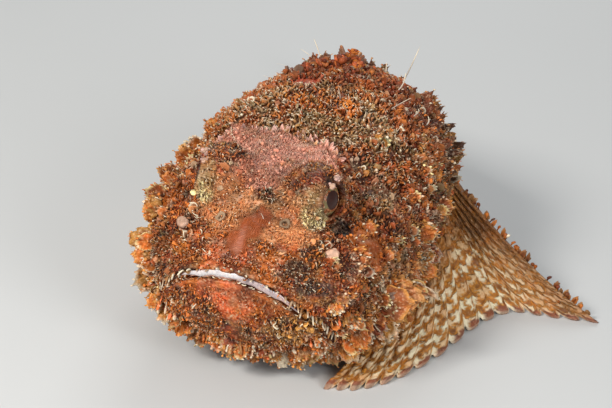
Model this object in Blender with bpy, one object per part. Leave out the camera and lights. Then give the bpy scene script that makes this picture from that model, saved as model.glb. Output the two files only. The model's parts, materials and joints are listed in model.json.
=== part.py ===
"""A spotted scorpionfish at rest on the sea floor, as a still, life-size model.

The head faces -Y, the fish's left side is +X and the floor is the plane z = 0.
A place on the body is given by s, the distance along its axis from the front
of the jaws, and by an angle round the section there: 0 degrees is the fish's
left, 90 degrees the middle of the back and 180 degrees its right.
The axis runs straight to the shoulders and then bends to the fish's right.
"""
import math
import random

import bmesh
import bpy
import numpy as np
from mathutils import Matrix, Vector
from mathutils.bvhtree import BVHTree

MM = 0.001
GAP = 0.3 * MM
SIDES = {"left": 1.0, "right": -1.0}

# Body sections in mm: s, half width, top, bottom, level of the widest point.
SECTIONS = np.array([
    (0.5, 9.0, 42.5, 36.0, 39.5),
    (2.0, 16.0, 44.0, 29.0, 38.5),
    (5.0, 21.5, 46.5, 22.0, 37.0),
    (9.0, 26.5, 49.5, 16.5, 35.5),
    (14.0, 30.5, 53.0, 12.0, 34.0),
    (20.0, 33.5, 56.0, 8.5, 33.0),
    (28.0, 37.0, 58.5, 5.0, 32.5),
    (42.0, 41.0, 61.5, 1.5, 33.0),
    (58.0, 43.5, 66.0, -1.0, 34.5),
    (78.0, 43.5, 72.5, -1.5, 36.0),
    (100.0, 41.0, 76.0, -1.5, 36.0),
    (125.0, 37.0, 68.5, -1.5, 34.5),
    (150.0, 29.0, 55.5, -1.0, 29.0),
    (175.0, 18.0, 41.0, 2.5, 22.0),
    (200.0, 11.0, 30.5, 7.0, 18.0),
    (235.0, 7.0, 23.0, 7.0, 15.0),
]) * MM
TOP_POWER = 1.9
BOTTOM_POWER = 2.3
BODY_END = 235 * MM
HEAD_TO_ORIGIN = 100 * MM

# The bend of the rear body, an arc that leads to a straight tail fin.
BEND_START = 100 * MM
BEND_RADIUS = 300 * MM
BEND_LENGTH = 135 * MM

# Rear edge of the gill cover: two half parabolas about its rearmost point.
GILL_BACK = 104 * MM
GILL_LEVEL = 42 * MM
GILL_NAPE = 86 * MM
NAPE_LEVEL = 80 * MM
GILL_THROAT = 52 * MM
GILL_FLARE = 1.8 * MM
FLARE_START = 68 * MM
TAIL_START = 165 * MM

# The gape falls away from its middle to both sides and to the back.
GAPE_FRONT = 42.3 * MM
GAPE_SLOPE = 0.60
GAPE_ARCH = 14.0
JAW_BACK = 40 * MM
LIP_RADIUS = 2.1 * MM
LIP_LIFT = 1.9 * MM

# Each eyeball sits in a raised orbit with a round opening that the lid rings.
EYE_RADIUS = 7.2 * MM
EYE_PLACE = Vector((15.0, 28.0 - 100.0, 59.8)) * MM
EYE_FORWARD = math.radians(24)
ORBIT_WALL = 2.2 * MM
LID_RADIUS = 6.0 * MM
LID_THICKNESS = 1.6 * MM
LID_OFFSET = 5.8 * MM
EYE_OPENING = 4.8 * MM

# Swellings and hollows of the head in mm: x, s, z, radius, height.
# Those with x above zero are on both sides.
FEATURES = np.array([
    (11.0, 30.0, 60.0, 9.5, 5.0),
    (0.0, 12.0, 52.0, 9.0, 2.2),
    (0.0, 36.0, 61.0, 10.0, 1.5),
    (0.0, 54.0, 66.0, 10.0, -1.6),
    (33.0, 30.0, 42.0, 11.0, 2.5),
    (28.0, 46.0, 54.0, 8.0, -3.0),
    (22.0, 66.0, 66.0, 11.0, 2.5),
]) * MM

# Rows of skin flaps: s and degrees at both ends, in mm and degrees, then their
# number, length and width in mm, and how far they bend over, in radians.
FLAP_SEED = 11
FLAP_SUNK = 1.6 * MM
FLAP_THICKNESS = 0.13
BROW_FLAP = 4.2 * MM
HEAD_ROWS = [
    (45, -14, 45, -14, 1, 10.5, 9.0, 0.5),
    (66, 22, 58, -24, 5, 7.5, 6.0, 0.9),
    (43, -32, 33, -25, 2, 7.0, 7.0, 0.7),
    (15, 0, 21, -26, 3, 6.0, 4.5, 0.8),
    (30, 20, 48, 14, 3, 4.5, 4.5, 1.0),
    (60, 52, 82, 74, 4, 4.5, 4.5, 1.1),
    (74, 30, 92, 48, 3, 5.5, 5.5, 1.1),
]
JAW_ROWS = [
    (11, -90, 11, -90, 1, 5.0, 3.2, 0.6),
    (10, -72, 8.5, -30, 4, 5.0, 3.2, 0.9),
    (20, -66, 17, -46, 2, 4.5, 3.8, 0.8),
]
TORSO_ROWS = [
    (96, 74, 158, 70, 6, 5.0, 4.8, 1.1),
    (100, 50, 156, 46, 5, 6.0, 5.2, 1.0),
    (112, 26, 158, 24, 4, 8.0, 5.8, 0.8),
    (126, 2, 156, 0, 3, 7.0, 5.0, 0.9),
]
TAIL_ROWS = [
    (172, 40, 226, 40, 5, 4.5, 3.6, 1.0),
    (176, 4, 228, 2, 5, 5.0, 3.8, 1.0),
]
# Spines of the head: s, degrees, length.
HEAD_THORNS = [(52, 66, 4.0), (68, 68, 4.5), (80, 60, 4.5), (88, 22, 5.0), (84, 12, 4.0)]
NOSTRIL_TURN = 28

SPINY_RAYS = 12
SPINY_START = 92 * MM
SPINY_END = 146 * MM
SPINY_LENGTH = 25 * MM
SOFT_RAYS = 9
SOFT_START = 156 * MM
SOFT_END = 196 * MM
SOFT_LENGTH = 22 * MM
ANAL_RAYS = 7
ANAL_START = 171 * MM
ANAL_END = 195 * MM
ANAL_LENGTH = 24 * MM
TAIL_RAYS = 12
TAIL_FIN_LENGTH = 50 * MM
PECTORAL_RAYS = 17
PELVIC_RAYS = 6

# Where the rays of a pectoral fin end on the floor, in mm, top ray first: x, s.
LEFT_REACH = np.array([(98, 105), (83, 101), (70, 98), (61, 82), (54, 56), (45, 35), (36, 24), (27, 20)]) * MM
RIGHT_REACH = np.array([(64, 136), (67, 123), (66, 108), (61, 92), (56, 77), (51, 65), (46, 56), (41, 49)]) * MM


def clear_scene():
    """Remove what the startup file holds."""
    for thing in list(bpy.data.objects):
        bpy.data.objects.remove(thing, do_unlink=True)


def material(name, colour, roughness):
    """A plain Principled material."""
    made = bpy.data.materials.new(name)
    made.use_nodes = True
    shader = made.node_tree.nodes["Principled BSDF"]
    shader.inputs["Base Color"].default_value = (*colour, 1.0)
    shader.inputs["Roughness"].default_value = roughness
    shader.inputs["Metallic"].default_value = 0.0
    return made


def curve_through(table, s):
    """Values at s on smooth curves through the rows of a table whose first column is s."""
    knots = table[:, 0]
    s = min(max(s, knots[0]), knots[-1])
    i = min(int(np.searchsorted(knots, s, side="right")) - 1, len(knots) - 2)
    span = knots[i + 1] - knots[i]
    t = (s - knots[i]) / span
    slopes = np.gradient(table[:, 1:], knots, axis=0)
    start = table[i, 1:] * (1 + 2 * t) * (1 - t) ** 2 + span * slopes[i] * t * (1 - t) ** 2
    end = table[i + 1, 1:] * t * t * (3 - 2 * t) + span * slopes[i + 1] * t * t * (t - 1)
    return start + end


def body_axis(s):
    """Plan place of the body's axis at s, and how far it has turned to the fish's right."""
    along = s - BEND_START
    if along <= 0:
        return 0.0, s - HEAD_TO_ORIGIN, 0.0
    turned = min(along, BEND_LENGTH) / BEND_RADIUS
    past = max(0.0, along - BEND_LENGTH)
    x = -BEND_RADIUS * (1 - math.cos(turned)) - past * math.sin(turned)
    y = BEND_START - HEAD_TO_ORIGIN + BEND_RADIUS * math.sin(turned) + past * math.cos(turned)
    return x, y, turned


def place(s, across, z):
    """World point from the distance along the body, the distance to its left, and the height."""
    x, y, turned = body_axis(s)
    return Vector((x + across * math.cos(turned), y + across * math.sin(turned), z))


def smooth_step(value, low, high):
    """Rise smoothly from 0 at low to 1 at high."""
    t = min(max((value - low) / (high - low), 0.0), 1.0)
    return t * t * (3 - 2 * t)


def swelling(across, s, z):
    """Height of the head's swellings and hollows at a point near its surface."""
    total = 0.0
    for x, along, level, radius, height in FEATURES:
        for side in ((-1, 1) if x > 0 else (1,)):
            far = (across - side * x) ** 2 + (s - along) ** 2 + (z - level) ** 2
            total += height * math.exp(-far / radius ** 2)
    return total


def skin(s, degrees, grow=0.0, flare=0.0):
    """Point of the body's surface, grown outwards by grow and flared at the gill cover."""
    width, top, bottom, level = curve_through(SECTIONS, s)
    cosine = math.cos(math.radians(degrees))
    sine = math.sin(math.radians(degrees))
    width += flare * smooth_step(s, FLARE_START, GILL_BACK)
    reach, power = (top - level, TOP_POWER) if sine >= 0 else (level - bottom, BOTTOM_POWER)
    across = width * math.copysign(abs(cosine) ** (2 / power), cosine)
    rise = reach * math.copysign(abs(sine) ** (2 / power), sine)
    outward = Vector((across / width ** 2, rise / reach ** 2)).normalized()
    step = grow + swelling(across, s, level + rise)
    return place(s, across + outward.x * step, level + rise + outward.y * step)


def half_width(s, z):
    """Half width of the body at s and height z."""
    width, top, bottom, level = curve_through(SECTIONS, s)
    reach, power = (top - level, TOP_POWER) if z >= level else (level - bottom, BOTTOM_POWER)
    return width * max(0.0, 1 - abs((z - level) / reach) ** power) ** (1 / power)


def skin_frame(s, degrees, flare=0.0):
    """Surface point with its outward normal and the direction towards the tail."""
    here = skin(s, degrees, flare=flare)
    back = skin(s + 1.5 * MM, degrees, flare=flare) - skin(s - 1.5 * MM, degrees, flare=flare)
    round_it = skin(s, degrees + 3, flare=flare) - skin(s, degrees - 3, flare=flare)
    back.normalize()
    out = round_it.cross(back).normalized()
    if out.dot(here - place(s, 0.0, curve_through(SECTIONS, s)[3])) < 0:
        out.negate()
    return here, out, back


def mesh_object(name, vertices, faces):
    """An object from vertices and faces, with its normals pointing out."""
    mesh = bpy.data.meshes.new(name)
    mesh.from_pydata([tuple(v) for v in vertices], [], faces)
    made = bpy.data.objects.new(name, mesh)
    bpy.context.scene.collection.objects.link(made)
    shape = bmesh.new()
    shape.from_mesh(mesh)
    bmesh.ops.recalc_face_normals(shape, faces=shape.faces)
    if shape.calc_volume(signed=True) < 0:
        bmesh.ops.reverse_faces(shape, faces=shape.faces)
    shape.to_mesh(mesh)
    shape.free()
    return made


def rings_object(name, rings, tip=None):
    """A closed skin over rings with equal numbers of points.

    Fans close both ends, the last one about the tip where one is given.
    """
    count = len(rings[0])
    vertices = [point for ring in rings for point in ring]
    faces = []
    for r in range(len(rings) - 1):
        for k in range(count):
            a = r * count + k
            b = r * count + (k + 1) % count
            faces.append((a, b, b + count, a + count))
    for r in (0, len(rings) - 1):
        middle = len(vertices)
        centre = sum((Vector(p) for p in rings[r]), Vector()) / count
        vertices.append(tip if r and tip is not None else centre)
        faces += [(middle, r * count + k, r * count + (k + 1) % count) for k in range(count)]
    return mesh_object(name, vertices, faces)


def loft(name, stations, around, grow=0.0, flare=0.0, on_floor=True):
    """A length of the body as one closed solid, flat where it rests on the floor."""
    rings = []
    for s in stations:
        ring = [skin(s, 360 * k / around, grow, flare) for k in range(around)]
        if on_floor:
            ring = [Vector((p.x, p.y, max(p.z, 0.0))) for p in ring]
        rings.append(ring)
    return rings_object(name, rings)


def combine(target, other, operation, solver="EXACT"):
    """Apply one Boolean with an object or a collection of them, and remove these."""
    many = isinstance(other, bpy.types.Collection)
    modifier = target.modifiers.new("combine", "BOOLEAN")
    modifier.operation = operation
    modifier.solver = solver
    if many:
        modifier.operand_type = "COLLECTION"
        modifier.collection = other
    else:
        modifier.object = other
    settled = target.evaluated_get(bpy.context.evaluated_depsgraph_get())
    result = bpy.data.meshes.new_from_object(settled)
    target.modifiers.remove(modifier)
    target.data = result
    for used in (list(other.objects) if many else [other]):
        bpy.data.objects.remove(used, do_unlink=True)
    if many:
        bpy.data.collections.remove(other)
    return target


def keep_largest(thing):
    """Keep the largest closed surface of an object, which drops scraps and sealed hollows."""
    shape = bmesh.new()
    shape.from_mesh(thing.data)
    bmesh.ops.dissolve_degenerate(shape, edges=shape.edges, dist=0.002 * MM)
    left = set(shape.verts)
    groups = []
    while left:
        seed = left.pop()
        group = {seed}
        front = [seed]
        while front:
            for edge in front.pop().link_edges:
                for vertex in edge.verts:
                    if vertex in left:
                        left.discard(vertex)
                        group.add(vertex)
                        front.append(vertex)
        groups.append(group)
    groups.sort(key=lambda g: box_diagonal(g), reverse=True)
    loose = [v for group in groups[1:] for v in group]
    bmesh.ops.delete(shape, geom=loose, context="VERTS")
    bmesh.ops.triangulate(shape, faces=shape.faces)
    shape.to_mesh(thing.data)
    shape.free()
    return thing


def box_diagonal(vertices):
    """Length of the diagonal of the box round some vertices."""
    places = np.array([v.co for v in vertices])
    return float(np.linalg.norm(places.max(axis=0) - places.min(axis=0)))


def gill_edge(z):
    """s of the gill cover's rear edge at height z."""
    if z > GILL_LEVEL:
        return GILL_BACK - (GILL_BACK - GILL_NAPE) * ((z - GILL_LEVEL) / (NAPE_LEVEL - GILL_LEVEL)) ** 2
    return GILL_BACK - (GILL_BACK - GILL_THROAT) * ((GILL_LEVEL - z) / GILL_LEVEL) ** 2


def head_block(grow):
    """A solid that holds all in front of the gill cover's edge, grown backwards by grow."""
    edge = []
    for z in np.linspace(-8, 96, 22) * MM:
        slope = (gill_edge(z + MM) - gill_edge(z - MM)) / (2 * MM)
        out = Vector((1.0, -slope)).normalized() * grow
        edge.append((gill_edge(z) + out.x, z + out.y))
    edge += [(-20 * MM, 100 * MM), (-20 * MM, -10 * MM)]
    half = 60 * MM
    count = len(edge)
    vertices = [(x, s - HEAD_TO_ORIGIN, z) for x in (-half, half) for s, z in edge]
    faces = [tuple(range(count)), tuple(range(count, 2 * count))]
    faces += [(k, (k + 1) % count, (k + 1) % count + count, k + count) for k in range(count)]
    return mesh_object("head_block", vertices, faces)


def gape_level(across, s):
    """Height of the surface between the jaws."""
    return GAPE_FRONT - GAPE_SLOPE * s - GAPE_ARCH * across ** 2


def jaw_block(grow):
    """A solid that holds all below the gape and in front of the throat, grown by grow."""
    across = np.linspace(-42, 42, 22) * MM
    floor = -12 * MM
    front, back = -8 * MM, JAW_BACK + grow
    count = len(across) + 2
    vertices = []
    for s in (front, back):
        edge = [(x, gape_level(x, s) + grow) for x in across]
        edge += [(across[-1], floor), (across[0], floor)]
        vertices += [(x, s - HEAD_TO_ORIGIN, z) for x, z in edge]
    faces = [tuple(range(count)), tuple(range(count, 2 * count))]
    faces += [(k, (k + 1) % count, (k + 1) % count + count, k + count) for k in range(count)]
    return mesh_object("jaw_block", vertices, faces)


def mouth_line(shape):
    """Points where the gape meets the face, from corner to corner, each with its way out."""
    tree = BVHTree.FromObject(shape, bpy.context.evaluated_depsgraph_get())
    points = []
    for degrees in np.linspace(-78, 78, 19):
        turn = math.radians(degrees)
        ahead = Vector((math.sin(turn), -math.cos(turn), 0.0))
        middle = Vector((0.0, 28 * MM - HEAD_TO_ORIGIN, 30 * MM))
        for _ in range(6):
            start = middle + ahead * 80 * MM
            hit, out, _, _ = tree.ray_cast(start, -ahead)
            middle.z = gape_level(hit.x, hit.y + HEAD_TO_ORIGIN)
        points.append((hit, out))
    return points


def tube(name, centres, radii, sides=5):
    """A closed tube over a list of centres, with a radius at each."""
    rings = []
    for k, centre in enumerate(centres):
        ahead = (centres[min(k + 1, len(centres) - 1)] - centres[max(k - 1, 0)]).normalized()
        across = ahead.cross(Vector((0, 0, 1))).normalized()
        upward = across.cross(ahead)
        ring = []
        for j in range(sides):
            turn = 2 * math.pi * j / sides
            ring.append(centre + (across * math.cos(turn) + upward * math.sin(turn)) * radii[k])
        rings.append(ring)
    return rings_object(name, rings)


def gather(things):
    """Put objects in a new collection, for one Boolean."""
    group = bpy.data.collections.new("group")
    bpy.context.scene.collection.children.link(group)
    for thing in things:
        for home in thing.users_collection:
            home.objects.unlink(thing)
        group.objects.link(thing)
    return group


def lips(shape):
    """Two rolls that follow the mouth above and below its line."""
    line = mouth_line(shape)
    made = []
    for way in (1, -1):
        centres = []
        radii = []
        for k, (point, out) in enumerate(line):
            taper = math.sin(math.pi * (k + 1.2) / (len(line) + 1.4)) ** 0.4
            centres.append(point + Vector((0, 0, way * LIP_LIFT)) - out * 0.5 * MM)
            radii.append(LIP_RADIUS * taper)
        made.append(tube("lip", centres, radii))
    return made


def eye_axis(side):
    """Direction in which an eye looks."""
    return Vector((side * math.cos(EYE_FORWARD), -math.sin(EYE_FORWARD), 0.0))


def eye_centre(side):
    """Centre of an eye."""
    return Vector((side * EYE_PLACE.x, EYE_PLACE.y, EYE_PLACE.z))


def lid_ring(side):
    """The thick lid round an eye's opening."""
    bpy.ops.mesh.primitive_torus_add(
        major_radius=LID_RADIUS, minor_radius=LID_THICKNESS, major_segments=14, minor_segments=5)
    ring = bpy.context.object
    axis = eye_axis(side)
    turn = axis.to_track_quat("Z", "Y").to_matrix().to_4x4()
    ring.data.transform(Matrix.Translation(eye_centre(side) + axis * LID_OFFSET) @ turn)
    return ring


def eye_opening(side):
    """A round cutter through an orbit's wall."""
    depth = 9 * MM
    bpy.ops.mesh.primitive_cylinder_add(vertices=14, radius=EYE_OPENING, depth=depth)
    made = bpy.context.object
    axis = eye_axis(side)
    turn = axis.to_track_quat("Z", "Y").to_matrix().to_4x4()
    made.data.transform(Matrix.Translation(eye_centre(side) + axis * (4 * MM + depth / 2)) @ turn)
    return made


def ball(name, centre, radius, segments, rings):
    """A sphere in place."""
    bpy.ops.mesh.primitive_uv_sphere_add(segments=segments, ring_count=rings, radius=radius)
    made = bpy.context.object
    made.name = name
    made.data.transform(Matrix.Translation(centre))
    return made


def lock(root, out, lean, length, width, curl, blunt=0.72):
    """A flat tapered flap of skin that grows out of the surface and bends over with the lie."""
    beside = out.cross(lean).normalized()
    centre = root - out * FLAP_SUNK
    shares = (0.0, 0.5, 0.86)
    widths = (0.7, 1.0, blunt)
    rings = []
    before = 0.0
    for share, wide in zip(shares, widths):
        turn = curl * (share + before) / 2
        ahead = out * math.cos(turn) + lean * math.sin(turn)
        centre = centre + ahead * (length + FLAP_SUNK) * (share - before)
        before = share
        across = beside * width * wide / 2
        deep = ahead.cross(beside).normalized() * width * FLAP_THICKNESS * (1.15 - 0.75 * share)
        rings.append([centre + across, centre + deep, centre - across, centre - deep])
    tip = centre + ahead * (length + FLAP_SUNK) * (1 - before)
    return rings_object("lock", rings, tip)


def thorn(root, ahead, length, width):
    """A short sharp spine of the head, standing on the surface."""
    side = ahead.orthogonal().normalized()
    up = ahead.cross(side)
    corners = [side * math.cos(a) + up * math.sin(a) for a in (math.tau * k / 4 for k in range(4))]
    base = root - ahead * FLAP_SUNK
    rings = [[base + c * width / 2 for c in corners]]
    rings.append([root + ahead * length + c * 0.25 * MM for c in corners])
    return rings_object("thorn", rings)


def row_of_locks(row, draw, flare=0.0, hang=0.0):
    """Flaps along a line on the body, on both sides unless the line is on its middle."""
    s0, d0, s1, d1, count, length, width, curl = row
    made = []
    for k in range(count):
        t = k / (count - 1) if count > 1 else 0.5
        s = (s0 + (s1 - s0) * t) * MM
        degrees = d0 + (d1 - d0) * t
        for angle in ((degrees,) if degrees in (-90, 90) else (degrees, 180 - degrees)):
            size = draw.uniform(0.8, 1.2)
            here, out, back = skin_frame(s + draw.uniform(-1, 1) * MM, angle, flare)
            lean = (back * (1 - hang) + Vector((0, 0, -1)) * hang).normalized()
            lean = (lean - out * lean.dot(out)).normalized()
            made.append(lock(here, out, lean, length * size * MM, width * size * MM, curl))
    return made


def brow_flaps(draw):
    """The short flap over each eye, in two lobes."""
    made = []
    for side in SIDES.values():
        for turn in (-0.35, 0.35):
            out = Vector((side * 0.6, turn, 0.8)).normalized()
            root = eye_centre(side) + out * (EYE_RADIUS + ORBIT_WALL - 0.3 * MM)
            lean = Vector((side * 0.8, 0.5, 0.0))
            lean = (lean - out * lean.dot(out)).normalized()
            size = draw.uniform(0.85, 1.15)
            made.append(lock(root, out, lean, BROW_FLAP * size, 0.8 * BROW_FLAP * size, 0.6))
    return made


def head_thorns():
    """Spines on the crown, the nape and the gill cover."""
    made = []
    for s, degrees, length in HEAD_THORNS:
        for angle in (degrees, 180 - degrees):
            here, out, back = skin_frame(s * MM, angle, GILL_FLARE)
            made.append(thorn(here, (out * 0.45 + back * 0.9).normalized(), length * MM, 2.2 * MM))
    return made


def nostrils():
    """The raised rim of the tube before each eye."""
    made = []
    for side in SIDES.values():
        here, out, _ = skin_frame(15 * MM, 90 - side * NOSTRIL_TURN, 0.0)
        bpy.ops.mesh.primitive_torus_add(
            major_radius=1.5 * MM, minor_radius=0.7 * MM, major_segments=10, minor_segments=5)
        rim = bpy.context.object
        turn = out.to_track_quat("Z", "Y").to_matrix().to_4x4()
        rim.data.transform(Matrix.Translation(here + out * 0.5 * MM) @ turn)
        made.append(rim)
    return made


def grow(node, pieces):
    """Fuse flaps and spines with the node that they grow from."""
    combine(node, gather(pieces), "UNION")
    return keep_largest(node)


def whole_head():
    """Head and lower jaw in one, with lips and lids."""
    front = [0.5, 1.6, 3, 5, 7.5, 10.5, 14, 18, 22.5]
    rest = list(np.arange(27.5, 113, 5.4))
    shape = loft("head", np.array(front + rest) * MM, 36, flare=GILL_FLARE)
    parts = lips(shape) + [lid_ring(side) for side in SIDES.values()]
    parts += [ball("orbit", eye_centre(side), EYE_RADIUS + ORBIT_WALL, 14, 9) for side in SIDES.values()]
    return combine(shape, gather(parts), "UNION")


def head_and_jaw():
    """The head, cut at the gill cover's edge, and the lower jaw, cut along the gape."""
    head = whole_head()
    corners = [v.co for v in head.data.vertices]
    jaw = mesh_object("lower_jaw", corners, [tuple(p.vertices) for p in head.data.polygons])
    combine(head, jaw_block(GAP), "DIFFERENCE", "MANIFOLD")
    combine(jaw, jaw_block(0.0), "INTERSECT", "MANIFOLD")
    combine(head, head_block(0.0), "INTERSECT")
    for side in SIDES.values():
        combine(head, ball("socket", eye_centre(side), EYE_RADIUS + GAP, 14, 9), "DIFFERENCE")
        combine(head, eye_opening(side), "DIFFERENCE")
    head.name = "head"
    draw = random.Random(FLAP_SEED)
    pieces = [flap for row in HEAD_ROWS for flap in row_of_locks(row, draw, GILL_FLARE)]
    pieces += brow_flaps(draw) + head_thorns() + nostrils()
    grow(keep_largest(head), pieces)
    barbels = [flap for row in JAW_ROWS for flap in row_of_locks(row, draw, hang=1.0)]
    grow(keep_largest(jaw), barbels)
    return head, jaw


def eyes():
    """The two eyeballs."""
    return [ball(f"eye_{name}", eye_centre(side), EYE_RADIUS, 14, 9) for name, side in SIDES.items()]


def torso():
    """The body from the gill opening to the vent."""
    stations = np.append(np.arange(44, 160, 7.4), 165) * MM
    body = loft("torso", stations, 32)
    combine(body, head_block(GAP), "DIFFERENCE")
    draw = random.Random(FLAP_SEED + 1)
    return grow(keep_largest(body), [flap for row in TORSO_ROWS for flap in row_of_locks(row, draw)])


def tail_stalk():
    """The body from the vent to the root of the tail fin."""
    stations = np.linspace(TAIL_START + GAP, BODY_END, 9)
    draw = random.Random(FLAP_SEED + 2)
    stalk = keep_largest(loft("tail_stalk", stations, 22))
    return grow(stalk, [flap for row in TAIL_ROWS for flap in row_of_locks(row, draw)])


def body_cutters():
    """The body grown by the gap, in two solids that clear the roots of fins."""
    stations = np.append(np.arange(44, 232, 8), 235) * MM
    body = loft("body_cutter", stations, 40, grow=GAP, on_floor=False)
    front = loft("head_cutter", np.arange(30, 113, 6) * MM, 40, grow=GAP, flare=GILL_FLARE, on_floor=False)
    combine(front, head_block(GAP), "INTERSECT")
    return [body, front]


def cut_root(fin):
    """Clear a fin's root from the body and keep what lies outside."""
    for cutter in body_cutters():
        combine(fin, cutter, "DIFFERENCE", "MANIFOLD")
    return keep_largest(fin)


def fin_columns(rays, thick, web, notch, finger):
    """Columns of points across a fin with the half thickness of each, from ray to ray.

    The membrane between two ray tips is notched. A finger above zero adds a
    column on both sides of each ray, so that its tip is round and not pointed.
    """
    columns = []
    for k, ray in enumerate(rays):
        nearby = [(-finger, k - 1), (0.0, k), (finger, k + 1)] if finger else [(0.0, k)]
        for share, other in nearby:
            if 0 <= other < len(rays):
                column = [a.lerp(b, abs(share)) for a, b in zip(ray, rays[other])]
                if share:
                    column[-1] = column[-1].lerp(column[-2], notch * 0.25)
                columns.append((column, thick * (1 - 0.4 * bool(share)) + web * 0.4 * bool(share)))
        if k + 1 < len(rays):
            middle = [(a + b) / 2 for a, b in zip(ray, rays[k + 1])]
            middle[-1] = middle[-1].lerp(middle[-2], notch)
            columns.append((middle, web))
    return columns


def fin_sheet(name, rays, thick, web, notch, finger=0.0):
    """A fin whose rays are raised as ridges on its membrane.

    rays holds a row of points for each ray, from root to tip; thick and web are
    the half thickness of ray and membrane from root to tip.
    """
    columns, halves = zip(*fin_columns(rays, thick, web, notch, finger))
    rows = len(rays[0])
    count = len(columns)
    upper = []
    lower = []
    for c, column in enumerate(columns):
        for r in range(rows):
            along = column[min(r + 1, rows - 1)] - column[max(r - 1, 0)]
            beside = columns[min(c + 1, count - 1)][r] - columns[max(c - 1, 0)][r]
            out = beside.cross(along).normalized() * halves[c][r]
            first = column[r] + out
            second = column[r] - out
            low = min(first.z, second.z)
            lift = Vector((0, 0, max(0.0, -low)))
            upper.append(first + lift)
            lower.append(second + lift)
    layer = len(upper)
    faces = []
    for c in range(count - 1):
        for r in range(rows - 1):
            a = c * rows + r
            pair = ((a, a + 1, a + rows + 1), (a, a + rows + 1, a + rows))
            faces += pair
            faces += [tuple(i + layer for i in reversed(face)) for face in pair]
    border = [r for r in range(rows)]
    border += [c * rows + rows - 1 for c in range(1, count)]
    border += [(count - 1) * rows + r for r in range(rows - 2, -1, -1)]
    border += [c * rows for c in range(count - 2, 0, -1)]
    for k, a in enumerate(border):
        b = border[(k + 1) % len(border)]
        faces += [(a, b, b + layer), (a, b + layer, a + layer)]
    return mesh_object(name, upper + lower, faces)


def bezier(a, b, c, t):
    """Point at t on a curve from a to c that is drawn towards b."""
    return a * (1 - t) ** 2 + b * 2 * t * (1 - t) + c * t * t


def pectoral_fin(name, side, reach):
    """A pectoral fin spread on the floor like a fan, its tips resting on it."""
    rows = 4
    rays = []
    table = np.column_stack([np.linspace(0, 1, len(reach)), reach])
    for k in range(PECTORAL_RAYS):
        t = k / (PECTORAL_RAYS - 1)
        root_z = (47 - 38 * t) * MM
        root_s = gill_edge(root_z) + 5 * MM
        root = place(root_s, side * (half_width(root_s, root_z) - 4 * MM), root_z)
        tip_x, tip_s = curve_through(table, t)
        tip = Vector((side * tip_x, tip_s - HEAD_TO_ORIGIN, 0.0))
        knee = root.lerp(tip, 0.5)
        knee.x += side * (-2 + 10 * t) * MM
        knee.z += (-7 + 10 * t) * MM
        rays.append([bezier(root, knee, tip, r / (rows - 1)) for r in range(rows)])
    thick = np.linspace(2.0, 1.3, rows) * MM
    web = np.linspace(1.3, 0.5, rows) * MM
    return cut_root(fin_sheet(name, rays, thick, web, 0.5, finger=0.3))


def pelvic_fin(name, side):
    """A pelvic fin laid on the floor beside the belly."""
    rows = 4
    rays = []
    for k in range(PELVIC_RAYS):
        t = k / (PELVIC_RAYS - 1)
        root = Vector((side * (19 - 5 * t) * MM, (84 + 3 * t) * MM - HEAD_TO_ORIGIN, 3.0 * MM))
        tip = Vector((side * (38 - 13 * t) * MM, (112 + 9 * t) * MM - HEAD_TO_ORIGIN, 0.0))
        knee = root.lerp(tip, 0.5)
        knee += Vector((side * 4 * MM, 0, -1 * MM))
        rays.append([bezier(root, knee, tip, r / (rows - 1)) for r in range(rows)])
    thick = np.linspace(1.4, 0.9, rows) * MM
    web = np.linspace(0.8, 0.5, rows) * MM
    return cut_root(fin_sheet(name, rays, thick, web, 0.5))


def median_rays(count, start, end, length, lean, rise, sunk):
    """Rays of a fin on the body's middle line; rise is 1 on the back and -1 on the belly."""
    rays = []
    rows = 4
    for k in range(count):
        t = k / (count - 1)
        s = start + (end - start) * t
        line = 1 if rise > 0 else 2
        level = curve_through(SECTIONS, s)[line]
        slope = (curve_through(SECTIONS, s + MM)[line] - curve_through(SECTIONS, s - MM)[line]) / (2 * MM)
        angle = math.atan(slope) + rise * lean(t)
        root = (s, level - rise * sunk)
        size = length(t) + sunk
        ray = []
        for r in range(rows):
            far = size * r / (rows - 1)
            ray.append(place(root[0] + far * math.cos(angle), 0.0, root[1] + far * math.sin(angle)))
        rays.append(ray)
    return rays


def spiny_dorsal():
    """The spiny dorsal fin, folded low along the back."""
    length = lambda t: SPINY_LENGTH * (0.5 + 1.7 * t * (1 - t) - 0.2 * t)
    lean = lambda t: math.radians(14 + 4 * t)
    rays = median_rays(SPINY_RAYS, SPINY_START, SPINY_END, length, lean, 1, 5 * MM)
    thick = np.array([1.5, 1.4, 1.1, 0.5]) * MM
    web = np.array([0.8, 0.8, 0.6, 0.4]) * MM
    return cut_root(fin_sheet("dorsal_fin_spiny", rays, thick, web, 0.7))


def soft_dorsal():
    """The soft dorsal fin, laid back over the tail stalk."""
    length = lambda t: SOFT_LENGTH * (0.75 + 1.0 * t * (1 - t))
    lean = lambda t: math.radians(27 - 7 * t)
    rays = median_rays(SOFT_RAYS, SOFT_START, SOFT_END, length, lean, 1, 4 * MM)
    thick = np.array([1.2, 1.1, 0.9, 0.6]) * MM
    web = np.array([0.7, 0.6, 0.5, 0.4]) * MM
    return cut_root(fin_sheet("dorsal_fin_soft", rays, thick, web, 0.35))


def anal_fin():
    """The anal fin, folded back until its tips touch the floor."""
    length = lambda t: ANAL_LENGTH * (0.5 + 0.7 * t * (1 - t))
    lean = lambda t: math.radians(19 - 3 * t)
    rays = median_rays(ANAL_RAYS, ANAL_START, ANAL_END, length, lean, -1, 4 * MM)
    thick = np.array([1.2, 1.1, 0.9, 0.6]) * MM
    web = np.array([0.7, 0.6, 0.5, 0.4]) * MM
    return cut_root(fin_sheet("anal_fin", rays, thick, web, 0.35))


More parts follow.
